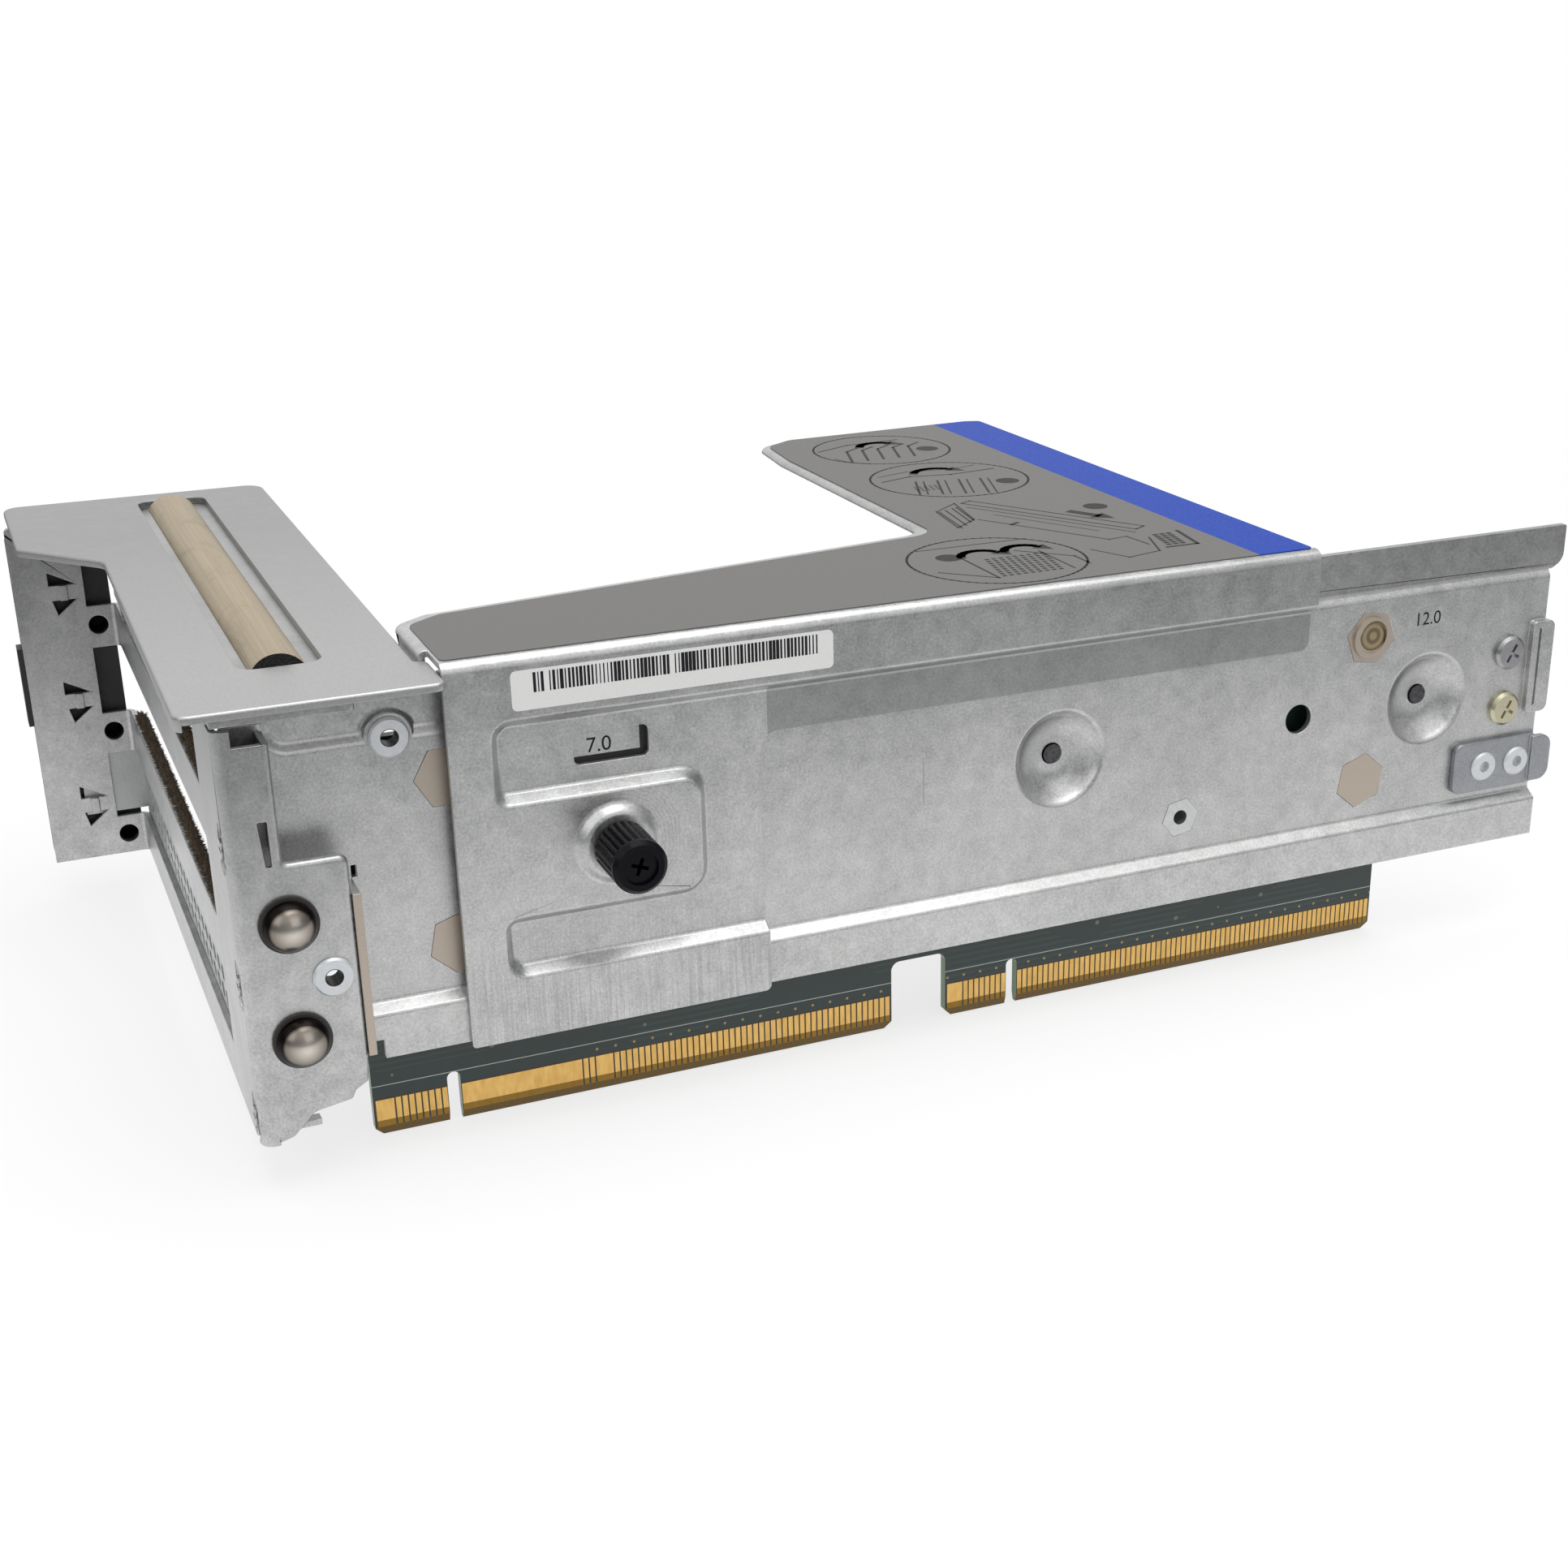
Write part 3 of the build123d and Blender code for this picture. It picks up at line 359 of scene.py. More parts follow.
def edge_round(edge, cut_round, form_round):
    """How far an edge is rounded: cut edges a little, and pressed forms more."""
    if len(edge.link_faces) != 2 or edge.calc_face_angle(0.0) < least_bend:
        return 0.0
    if edge.calc_face_angle(0.0) > cut_bend or not form_round:
        return cut_round
    slope, flat = sorted(abs(face.normal[pressed_along]) for face in edge.link_faces)
    return form_round if flat > flat_share and slope > slope_share else 0.0


def soften(node, finish, name, cut_round, form_round=0.0, extra=()):
    """A copy of a node with rounded edges. Extra gives the finishes of single faces."""
    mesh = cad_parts[node].data.copy()
    mesh.name = name
    mesh.materials.clear()
    mesh.materials.append(finish.material)
    for other, test in extra:
        mesh.materials.append(other.material)
    work = bmesh.new()
    work.from_mesh(mesh)
    bmesh.ops.remove_doubles(work, verts=work.verts, dist=merge_reach)
    bmesh.ops.dissolve_limit(work, angle_limit=flat_bend, verts=work.verts, edges=work.edges)
    widest = max(cut_round, form_round)
    share = work.edges.layers.float.new("bevel_weight_edge")
    for edge in work.edges:
        edge[share] = edge_round(edge, cut_round, form_round) / widest
    for face in work.faces:
        face.smooth = True
        face.material_index = 0
        centre = face.calc_center_median() / MM - DATUM
        for index, (other, test) in enumerate(extra):
            if test(centre, face.normal):
                face.material_index = index + 1
    work.to_mesh(mesh)
    work.free()
    piece = show(name, mesh)
    bevel = piece.modifiers.new("round", "BEVEL")
    bevel.width = widest * MM
    bevel.segments = 3
    bevel.limit_method = "WEIGHT"
    bevel.use_clamp_overlap = False
    flats = piece.modifiers.new("true_flats", "WEIGHTED_NORMAL")
    flats.mode = "FACE_AREA"
    flats.weight = 100
    settle(piece, name)
    low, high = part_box(node)
    for vertex in piece.data.vertices:
        vertex.co = [min(max(c, a), b) for c, a, b in zip(vertex.co, low, high)]
    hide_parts(node)
    return piece


lip_depth = -9.5
strip_foot = 63.6
dimple_middles = (111.7, 183.3)
dimple_height = 43.8
dimple_radius = 6.7
seam_place = 87.6
seam_foot, seam_top = 40.1, 47.5
plate_finish = zinc("zinc_plate")
run, depth, height = plate_finish.millimetres()
# Painted shade: the set-back top strip is darkened, more so towards the right.
tint(plate_finish, (height > strip_foot) * plate_finish.span(run, 20.0, 165.0, 0.0, 0.42))
# Painted shade: the upper left of each dimple's bowl is darkened as its shaded side.
for middle in dimple_middles:
    reach_x = (run - middle) / dimple_radius
    reach_z = (height - dimple_height) / dimple_radius
    dimple_shade_side = reach_z * 0.65 - reach_x * 0.75
    inside = reach(reach_x, reach_z) < 1.0
    tint(plate_finish, inside * plate_finish.span(dimple_shade_side, 0.1, 0.85, 0.0, 0.6))
seam = (abs(run - seam_place) < 0.11) * (height > seam_foot) * (height < seam_top)
tint(plate_finish, seam * 0.4)
# Painted shadow: the plate is near black and not metallic beside the number seen through the
# cover's window.
shade = window_shadow(plate_finish)
tint(plate_finish, shade, (0.004, 0.004, 0.005))
plate_finish.paint("Metallic", (1.0 - shade) * zinc_metallic)
cut_finish = Finish("cut_steel", (0.5, 0.43, 0.36), 0.42, 0.9)
cut_grain = cut_finish.clouds(1500.0, rough=0.6, stretch=(1, 1, 6))
cut_finish.mottle(cut_grain, (0.42, 0.35, 0.29), (0.6, 0.53, 0.45))
cut_finish.bump(cut_grain, 0.00003, 0.5)


def lip_edge(place, normal):
    return normal.y < -0.9 and place.y < lip_depth


plate = soften("main_plate", plate_finish, "pressed_plate", 0.14, 0.4,
               extra=[(cut_finish, lip_edge)])
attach(plate, "riser")

# Numbers on the plate: two plain sizes in black ink, printed before the plate is
# fitted. One shows through the cover's small window, the other is by the right dimple.
ink = Finish("stamped_ink", (0.015, 0.015, 0.018), 0.5, Specular_IOR_Level=0.15)
ink_wear = ink.clouds(2500.0, rough=0.6)
ink.mottle(ink_wear, (0.004, 0.004, 0.006), (0.02, 0.02, 0.024))
plate_face = -4.0
ink_t = 0.012
digit_height = 2.2
digit_share = 0.69


def stamp(name, text, left, base):
    """A plain number printed on the plate's face."""
    letters = bpy.data.curves.new(name, "FONT")
    letters.body = text
    letters.size = digit_height * MM / digit_share
    written = show(name, letters)
    made = plain_mesh(written)
    bpy.data.objects.remove(written)
    upright = Matrix.Rotation(math.radians(90), 4, "X")
    made.transform(Matrix.Translation(at(left, plate_face - ink_t, base)) @ upright)
    made.materials.clear()
    made.materials.append(ink.material)
    piece = show(name, made)
    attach(piece, "riser")


stamp("slot_number_left", "7.0", 33.9, 56.6)
stamp("slot_number_right", "12.0", 179.4, 57.1)

# Standoffs: hexagonal steel bushes pressed into the plate, bare and flush at the face
# but for one, which stands proud with a turned end. The screws that hold the board to
# them sit behind, and two dark screws sit in the dimples.
proud_standoff = (170.9, 56.6)
turned_radius = 2.6
yellow_left, yellow_top = 190.0, 45.0
hex_finish = Finish("bare_hexagon", (0.51, 0.445, 0.376), 0.45, 0.85)
hex_grain = hex_finish.clouds(1500.0, detail=4.0, rough=0.65)
run, depth, height = hex_finish.millimetres()
from_middle = reach(run - proud_standoff[0], height - proud_standoff[1])
turned = from_middle < turned_radius
rings = (from_middle * 4.4).sine() * 0.5 + 0.5
bare = hex_finish.blend(hex_grain, (0.46, 0.4, 0.338), (0.56, 0.49, 0.415))
bronze = hex_finish.blend(rings, (0.2, 0.15, 0.09), (0.42, 0.34, 0.22))
hex_finish.mottle(turned, bare, bronze)
hex_finish.roughen(hex_grain, 0.38, 0.52)
hex_finish.bump(rings * turned + hex_grain * 0.2, 0.00005, 0.5)
dress("hex_standoffs", hex_finish)
screw_finish = Finish("zinc_screw", (0.5, 0.5, 0.5), 0.26, 1.0)
screw_mottle = screw_finish.clouds(500.0, detail=2.0, rough=0.5)
run, depth, height = screw_finish.millimetres()
yellow = (height < yellow_top) * (run > yellow_left)
steel = screw_finish.blend(screw_mottle, (0.3, 0.3, 0.31), (0.5, 0.5, 0.51))
chromate = screw_finish.blend(screw_mottle, (0.5, 0.46, 0.32), (0.64, 0.61, 0.46))
screw_finish.mottle(yellow, steel, chromate)
screw_finish.roughen(screw_mottle, 0.2, 0.34)
dress("standoff_screws", screw_finish)
dark_screw = Finish("dark_screw", (0.1, 0.1, 0.1), 0.3, 1.0)
dark_mottle = dark_screw.clouds(1500.0, rough=0.6)
dark_screw.mottle(dark_mottle, (0.02, 0.02, 0.02), (0.16, 0.16, 0.17))
dress("dimple_screws", dark_screw)

# Nuts, rivets and small screws: bright zinc-plated steel. The nuts are clinched into
# the plate and the bracket, and the screws with cross drives hold the clips behind.
bore_middles = ((6.0, 63.2), (-5.9, 31.8))
bore_radius = 1.304
nut_finish = Finish("nut_zinc", (0.7, 0.72, 0.74), 0.45, 0.6)
nut_mottle = nut_finish.clouds(1600.0, rough=0.6)
nut_colour = nut_finish.blend(nut_mottle, (0.56, 0.58, 0.6), (0.74, 0.76, 0.77))
run, depth, height = nut_finish.millimetres()
# Painted shade: the nuts' bores are painted near black.
for middle_x, middle_z in bore_middles:
    bore_shade = reach(run - middle_x, height - middle_z) < bore_radius
    nut_colour = nut_finish.blend(bore_shade, nut_colour, (0.03, 0.03, 0.03))
nut_finish.paint("Base Color", nut_colour)
nut_finish.roughen(nut_mottle, 0.36, 0.5)
pressed_in = Finish("press_nut_zinc", (0.6, 0.61, 0.6), 0.36, 0.9)
pressed_mottle = pressed_in.clouds(1600.0, rough=0.6)
pressed_in.mottle(pressed_mottle, (0.5, 0.51, 0.5), (0.72, 0.73, 0.72))
for node in ("press_nut", "thumbscrew_nut"):
    dress(node, pressed_in)
for node in ("round_nut", "flange_nut", "end_rivets"):
    dress(node, nut_finish)
for node in ("plate_screws", "panel_screws"):
    dress(node, screw_finish)

# End bracket: a small piece of darker zinc-plated steel, bent round the plate's right
# end and held there by two rivets.
end_finish = zinc("zinc_end", (0.42, 0.43, 0.45), (0.27, 0.28, 0.3), 0.38)
end_piece = soften("end_bracket", end_finish, "end_bracket_piece", 0.25)
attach(end_piece, "riser")

# Cover: one folded sheet of galvanised steel with an embossed clamping tab, a skirt
# over the plate's top strip and an L-shaped top. The thumbscrew holds it down.
crease_height = 63.45
crease_shadow_foot = 50.0
tab_right = 61.5
brushed_right = 60.5
screw_place = (36.9, 43.3)
rub_inner, rub_outer, rub_top = 6.0, 10.0, 63.0
cover_finish = zinc("zinc_cover")
run, depth, height = cover_finish.millimetres()
# Painted shade: the band under the crease is darkened, and the skirt more so towards the
# right.
under_crease_shade = (run > tab_right) * (height < crease_height) * (height > crease_shadow_foot)
skirt = (height > crease_height) * cover_finish.span(run, 0.0, 150.0, 0.1, 0.3)
tint(cover_finish, under_crease_shade * 0.5 + skirt)
brushed = cover_finish.clouds(900.0, rough=0.6, stretch=(4.0, 1.0, 0.12))
lower_tab = (run < brushed_right) * cover_finish.span(height, 36.0, 20.0)
tint(cover_finish, lower_tab * cover_finish.span(brushed, 0.42, 0.7, 0.0, 0.4))
reach_x = run - screw_place[0]
reach_z = height - screw_place[1]
from_screw = reach(reach_x, reach_z)
wander = cover_finish.clouds(260.0, rough=0.6)
arcs = (from_screw * 11.0 + wander * 16.0).sine()
scuffed = cover_finish.span(arcs * wander, 0.2, 0.5, 0.0, 0.35)
windward = cover_finish.span(reach_z * 0.7 + reach_x, -6.0, 6.0)
rubbed = (from_screw > rub_inner) * (from_screw < rub_outer) * windward
tint(cover_finish, rubbed * (height < rub_top) * scuffed, (0.34, 0.32, 0.29))
cover = soften("cover", cover_finish, "folded_cover", 0.14, 0.4)
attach(cover, "riser")

# Printed film: dark grey plastic stuck on the cover's top, with a plain blue stripe
# along its right side. The fitting pictures on it are printed in black.
film_grey = (0.137, 0.135, 0.13)
stripe_blue = (0.003, 0.042, 0.33)
stripe_start = 146.5
film_finish = Finish("printed_film", film_grey, 0.42, Specular_IOR_Level=0.1)
run, depth, height = film_finish.millimetres()
mist = film_finish.clouds(1800.0, rough=0.6)
misted = film_finish.blend(mist, (0.122, 0.12, 0.1155), (0.152, 0.1495, 0.1445))
film_finish.mottle(run > stripe_start, misted, stripe_blue)
film_finish.roughen(mist, 0.4, 0.5)
dress("cover_film", film_finish)

film_top = 73.45
print_ink = Finish("film_ink", (0.02, 0.02, 0.02), 0.5, Specular_IOR_Level=0.15)
print_wear = print_ink.clouds(1800.0, rough=0.6)
print_ink.mottle(print_wear, (0.008, 0.008, 0.008), (0.025, 0.024, 0.022))
drawing = bmesh.new()


def fill(corners):
    """A printed patch inside the corners."""
    drawing.faces.new([drawing.verts.new(at(x, y, film_top + ink_t)) for x, y in corners])


def circle(x, y, radius, count):
    return [(x + radius * math.cos(math.tau * n / count),
             y + radius * math.sin(math.tau * n / count)) for n in range(count)]


def stroke(points, width, closed=False):
    """A printed line of even width through the points."""
    path = [Vector(point) for point in points]
    ends = path[1:] + path[:1] if closed else path[1:]
    for first, second in zip(path, ends):
        onward = (second - first).normalized() * width / 2
        beside = Vector((-onward.y, onward.x))
        fill([first - onward - beside, second + onward - beside,
              second + onward + beside, first - onward + beside])


def arrow(x, y, heading, length):
    """A straight arrow with a thick shaft."""
    ahead = Vector((math.cos(heading), math.sin(heading)))
    beside = Vector((-ahead.y, ahead.x))
    start = Vector((x, y))
    neck = start + ahead * length * 0.55
    stroke([start, neck], 1.9)
    fill([start + ahead * length, neck + beside * 2.1, neck - beside * 2.1])


def hatch(x, y, columns, rows, step, side):
    """A slanted field of small printed squares."""
    for row in range(rows):
        for column in range(columns):
            left = x + column * step + row * step * 0.2
            base = y + row * step
            fill([(left, base), (left + side, base), (left + side, base + side),
                  (left, base + side)])


def sweep(x, y, radius, start, stop, width):
    """A thick curved arrow."""
    angles = [start + (stop - start) * n / 10 for n in range(11)]
    curve = [(x + radius * math.cos(a), y + radius * math.sin(a)) for a in angles]
    stroke(curve, width)
    heading = stop + math.copysign(math.pi / 2, stop - start)
    ahead = Vector((math.cos(heading), math.sin(heading)))
    beside = Vector((-ahead.y, ahead.x)) * width * 1.1
    neck = Vector(curve[-1])
    fill([neck + ahead * width * 2.2, neck + beside, neck - beside])


for x, y, radius in ((107.3, 10.2, 14.4), (126.6, 67.0, 14.6), (126.4, 96.8, 13.4)):
    stroke(circle(x, y, radius, 64), 0.42, True)
for x, y in ((100.9, 14.6), (135.6, 61.0), (134.9, 93.8), (139.8, 35.9)):
    fill(circle(x, y, 2.2, 20))

# In the near ring: a card over its slot, with two curved arrows.
hatch(103.5, 0.6, 9, 9, 1.25, 0.72)
stroke([(95.5, 7.0), (102.6, 0.2), (102.6, 13.6)], 0.4)
stroke([(112.6, 14.2), (119.6, 7.0), (119.6, 2.0)], 0.4)
stroke([(98.0, 20.6), (117.8, 20.6)], 0.35)
stroke([(116.0, 0.5), (116.0, 12.4)], 0.35)
sweep(106.4, 13.2, 3.6, 2.9, 0.5, 1.5)
sweep(114.2, 13.6, 3.4, 2.9, 0.5, 1.5)

# In the middle ring: four posts under a rail, with one curved arrow.
for shift in range(4):
    x, y = 116.2 + shift * 4.0, 57.5 - shift * 1.2
    stroke([(x, y), (x + 3.8, y + 10.0 + shift * 0.4)], 0.45)
    stroke([(x + 1.4, y - 0.4), (x + 5.2, y + 9.6 + shift * 0.4)], 0.3)
stroke([(114.4, 69.8), (121.0, 72.0), (128.6, 70.4), (138.0, 71.6)], 0.5)
stroke([(115.4, 74.0), (122.0, 76.0), (131.0, 74.6), (136.0, 76.0)], 0.3)
sweep(126.8, 72.0, 4.6, 2.7, 0.7, 1.6)
hatch(117.0, 60.0, 5, 4, 1.0, 0.5)

# In the far ring: five bent posts under a rail, with one curved arrow.
for shift in range(5):
    x = 116.6 + shift * 3.3
    stroke([(x, 88.6), (x + 2.8, 97.8), (x + 6.0, 100.2)], 0.55)
stroke([(114.4, 100.0), (122.0, 103.6), (133.0, 104.4)], 0.5)
sweep(127.2, 99.4, 4.0, 2.8, 0.8, 1.7)
stroke([(114.6, 92.4), (116.2, 88.0), (119.0, 85.8)], 0.35)

# Between the rings: a long frame laid over its seat, with a straight arrow.
for shift in (0.0, 1.5, 3.2, 4.2):
    stroke([(111.8 + shift, 31.6 + shift), (113.4 + shift, 43.8 + shift * 0.5)], 0.34)
stroke([(111.3, 32.2), (116.4, 36.4), (118.6, 48.6), (113.0, 44.2)], 0.34, True)
stroke([(119.8, 48.2), (137.6, 18.2), (139.9, 19.6), (122.0, 49.2)], 0.4, True)
stroke([(119.4, 45.0), (136.4, 16.4)], 0.3)
stroke([(117.0, 36.0), (130.0, 14.0), (133.6, 14.6), (134.2, 8.4)], 0.36)
stroke([(121.0, 38.0), (131.4, 20.0)], 0.26)
stroke([(124.0, 9.5), (127.1, 2.4), (133.6, 4.0), (136.6, 12.4)], 0.36)
stroke([(120.4, 30.2), (121.9, 31.1)], 0.8)
hatch(136.6, 6.4, 3, 6, 1.3, 0.95)
stroke([(135.9, 5.4), (141.6, 5.4), (143.2, 14.4)], 0.7)
arrow(134.2, 34.0, -1.05, 8.5)
bmesh.ops.recalc_face_normals(drawing, faces=drawing.faces)
for face in drawing.faces:
    if face.normal.z < 0:
        face.normal_flip()
film_print = bpy.data.meshes.new("film_print")
drawing.to_mesh(film_print)
drawing.free()
film_print.materials.append(print_ink.material)
prints = show("film_print", film_print)
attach(prints, "riser")

# Sticker: white paper stuck on the cover's skirt, printed with a row of bars and no
# words. The bars lie flat on the paper, and a few are left out at random.
paper = Finish("label_paper", (0.66, 0.66, 0.65), 0.55)
fibre = paper.clouds(3000.0, rough=0.6)
paper.mottle(fibre, (0.62, 0.62, 0.61), (0.7, 0.7, 0.69))
dress("barcode_sticker", paper)


class Pattern(Wiring):
    """A geometry tree with named sizes, which lays many small like pieces."""

    def __init__(self, name, **sizes):
        super().__init__(bpy.data.node_groups.new(name, "GeometryNodeTree"))
        sockets = self.tree.interface
        sockets.new_socket("Base", in_out="INPUT", socket_type="NodeSocketGeometry")
        self.sizes = {}
        for size, value in sizes.items():
            kind = "NodeSocketInt" if isinstance(value, int) else "NodeSocketFloat"
            made = sockets.new_socket(size, in_out="INPUT", socket_type=kind)
            self.sizes[made.identifier] = value
        sockets.new_socket("Mesh", in_out="OUTPUT", socket_type="NodeSocketGeometry")
        inlet = self.node("NodeGroupInput")
        self.given = {name: inlet.output(name) for name in ("Base", *sizes)}

    def offset(self, x=0.0, y=0.0, z=0.0):
        return self.node("ShaderNodeCombineXYZ", None, {0: x, 1: y, 2: z})

    def row(self, count, start, step):
        values = {"Count": count, "Start Location": start, "Offset": step}
        return self.node("GeometryNodeMeshLine", {"mode": "OFFSET"}, values)

    def block(self, wide, deep, tall):
        return self.node("GeometryNodeMeshCube", None, {"Size": self.offset(wide, deep, tall)})

    def copies(self, points, shape, **sockets):
        values = {"Points": points, "Instance": shape, **sockets}
        return self.node("GeometryNodeInstanceOnPoints", None, values)

    def most(self, share, seed):
        """True for the given share of the pieces, picked at random."""
        values = {"Probability": share, "Seed": seed}
        return self.node("FunctionNodeRandomValue", {"data_type": "BOOLEAN"}, values, 3)

    def vary(self, low, high, seed):
        """A size or turn that is picked at random for each piece."""
        values = {0: low, 1: high, "Seed": seed}
        return self.node("FunctionNodeRandomValue", {"data_type": "FLOAT_VECTOR"}, values)

    def lay(self, shape, finish, name, base=None, body="riser"):
        """Makes the pieces as one plain mesh that rides on the body."""
        whole = self.node("GeometryNodeRealizeInstances", None, {0: shape})
        coated = {0: whole, "Material": finish.material}
        painted = self.node("GeometryNodeSetMaterial", None, coated)
        self.node("NodeGroupOutput", None, {0: painted})
        piece = show(name, base.copy() if base else bpy.data.meshes.new(name))
        grown = piece.modifiers.new("pattern", "NODES")
        grown.node_group = self.tree
        for identifier, value in self.sizes.items():
            grown[identifier] = value
        settle(piece, name)
        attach(piece, body)
        return piece


sticker_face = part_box("barcode_sticker")[0][1]
first_bar = at(26.2, 0.0, 69.2)
first_bar.y = sticker_face
bars = Pattern("bars", Count=77, Pitch=0.56 * MM, Width=0.34 * MM, Height=2.9 * MM,
               Depth=2 * ink_t * MM)
given = bars.given
bar_line = bars.row(given["Count"], tuple(first_bar), bars.offset(given["Pitch"]))
bar = bars.block(given["Width"], given["Depth"], given["Height"])
bars_laid = bars.copies(bar_line, bar, Selection=bars.most(0.96, seed=7),
                        Scale=bars.vary((0.45, 1.0, 1.0), (1.55, 1.0, 1.0), seed=4))
bars.lay(bars_laid, ink, "sticker_bars")

# Contact springs: gilt blades in two rows down both walls of every card slot, apart
# from the key. They were pressed into the housings before these were soldered.
slot_wall = (8.4, 15.08)
slot_rows = 3
for name, first, count in (("springs_short", 32.7, 10), ("springs_long", 44.2, 73)):
    springs = Pattern(name, Count=count, Pitch=1.0 * MM, Wide=0.5 * MM, Deep=6.4 * MM,
                      Thick=0.22 * MM, Apart=1.44 * MM, Rise=20.32 * MM)
    given = springs.given
    line = springs.row(given["Count"], tuple(at(first, *slot_wall)),
                       springs.offset(given["Pitch"]))
    blade = springs.block(given["Wide"], given["Deep"], given["Thick"])
    walls = springs.row(2, (0.0, 0.0, 0.0), springs.offset(z=given["Apart"]))
    slots = springs.row(slot_rows, (0.0, 0.0, 0.0), springs.offset(z=given["Rise"]))
    every = springs.copies(slots, springs.copies(walls, springs.copies(line, blade)))
    springs.lay(every, contact_finish, name)

# Captive thumbscrew: a fluted knob of black plastic pressed on a dark steel screw. It
# stays in the cover's dome when it is undone.
knob_finish = Finish("knob_black", (0.003, 0.003, 0.005), 0.28, Specular_IOR_Level=0.12)
knob_grain = knob_finish.clouds(2500.0, rough=0.6)
knob_finish.roughen(knob_grain, 0.22, 0.36)
dress("thumbscrew_knob", knob_finish)
dress("thumbscrew_screw", knob_finish)

# Rear bracket: one folded sheet that makes the panel with three card windows, the
# flange beside the plate and the screw flange at the far side.
bracket_finish = zinc("zinc_bracket", mottle=0.8)
run, depth, height = bracket_finish.millimetres()
# Painted shade: the bracket darkens towards the top.
tint(bracket_finish, bracket_finish.span(height, 28.0, 62.0, 0.08, 0.45))
bracket = soften("rear_bracket", bracket_finish, "folded_bracket", 0.14)
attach(bracket, "riser")

# Guide studs: two nickel-plated domes riveted through washers on the near flange. A
# painted highlight lightens their crowns, painted shade darkens the shoulders, the rim in
# the washers' shadow is painted black, and the washers are painted near black as the
# domes' dark reflection.
stud_place = -11.1
stud_middle, stud_half_pitch = 31.875, 8.775
crown_edge, shoulder, shadow_start, shadow_full = 0.4, 2.6, 2.7, 3.1
nickel = Finish("nickel_dome", (0.5, 0.46, 0.4), 0.27, 1.0)
nickel_haze = nickel.clouds(700.0, detail=2.0, rough=0.5)
run, depth, height = nickel.millimetres()
# Painted highlight on the crowns, painted shade on the shoulders and painted shadow at the
# rims.
from_crown = reach(run - stud_place, abs(height - stud_middle) - stud_half_pitch)
crown_highlight = nickel.blend(nickel_haze, (0.6, 0.56, 0.5), (0.68, 0.64, 0.58))
dome_light_and_shade = nickel.blend(nickel.span(from_crown, crown_edge, shoulder), crown_highlight, (0.24, 0.21, 0.18))
nickel.mottle(nickel.span(from_crown, shadow_start, shadow_full), dome_light_and_shade, (0.012, 0.01, 0.009))
nickel.roughen(nickel_haze, 0.25, 0.3)
dress("guide_studs", nickel)
# Painted reflection: the washers are near black to stand for the domes' dark reflection.
rim_reflection_finish = Finish("washer_dark", (0.03, 0.025, 0.022), 0.5)
rim_reflection_grain = rim_reflection_finish.clouds(1500.0)
rim_reflection_finish.roughen(rim_reflection_grain, 0.4, 0.6)
dress("stud_rims", rim_reflection_finish)

# Rear top plate: a flat sheet with a fine satin grain and a folded rim, fixed on the
# rear bracket's top flange. Its long opening holds the gasket.
top_finish = zinc("zinc_top", (0.5, 0.504, 0.496), (0.37, 0.374, 0.37), 0.42, 0.1, 1.6)
run, depth, height = top_finish.millimetres()
# Painted shade: the top plate darkens towards the back.
tint(top_finish, top_finish.span(depth, 5.0, 95.0) * 0.42, (0.22, 0.223, 0.22))
top_plate = soften("rear_top_plate", top_finish, "rear_top_sheet", 0.12)
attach(top_plate, "riser")

# Gasket on the top plate: conductive woven cloth wrapped over a black foam core and
# glued into the opening. The foam shows at its cut ends.
cloth_dark = (0.31, 0.25, 0.165)
cloth_light = (0.42, 0.35, 0.25)
cloth = Finish("conductive_cloth", cloth_light, 0.5, 0.45)
along, across, up = cloth.metres()
threads = cloth.clouds(2200.0, detail=2.0, rough=0.6, stretch=(1.6, 0.015, 1.6))
crossings = (across * 9000.0).sine()
wear = cloth.clouds(120.0, detail=5.0, rough=0.7, stretch=(1, 0.6, 1), warp=0.6)
thread = threads * 0.8 + crossings * 0.06
smudge = cloth.span(wear, 0.56, 0.76)
plain = cloth.blend(cloth.span(thread, 0.3, 0.55), cloth_dark, cloth_light)
cloth.mottle(smudge * 0.55, plain, (0.19, 0.15, 0.1))
cloth.paint("Roughness", cloth.span(thread, 0.3, 0.6, 0.42, 0.62))
cloth.bump(thread, 0.0001, 0.7)
foam = Finish("foam_core", (0.008, 0.008, 0.008), 0.9)
foam_cells = foam.cells(2500.0)
foam.mottle(foam_cells, (0.004, 0.004, 0.004), (0.02, 0.02, 0.02))
foam.bump(foam_cells, 0.0002, 1.0)


def foam_end(place, normal):
    return abs(normal.y) > 0.9


gasket = soften("top_gasket", cloth, "cloth_gasket", 0.15, extra=[(foam, foam_end)])
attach(gasket, "riser")

# Slot filler: thin galvanised sheet with staggered round perforations that let the air
# through. It closes the lowest card window from inside.
filler_finish = zinc("zinc_filler", (0.55, 0.56, 0.56), (0.42, 0.43, 0.43), 0.4)
dress("slot_filler", filler_finish)

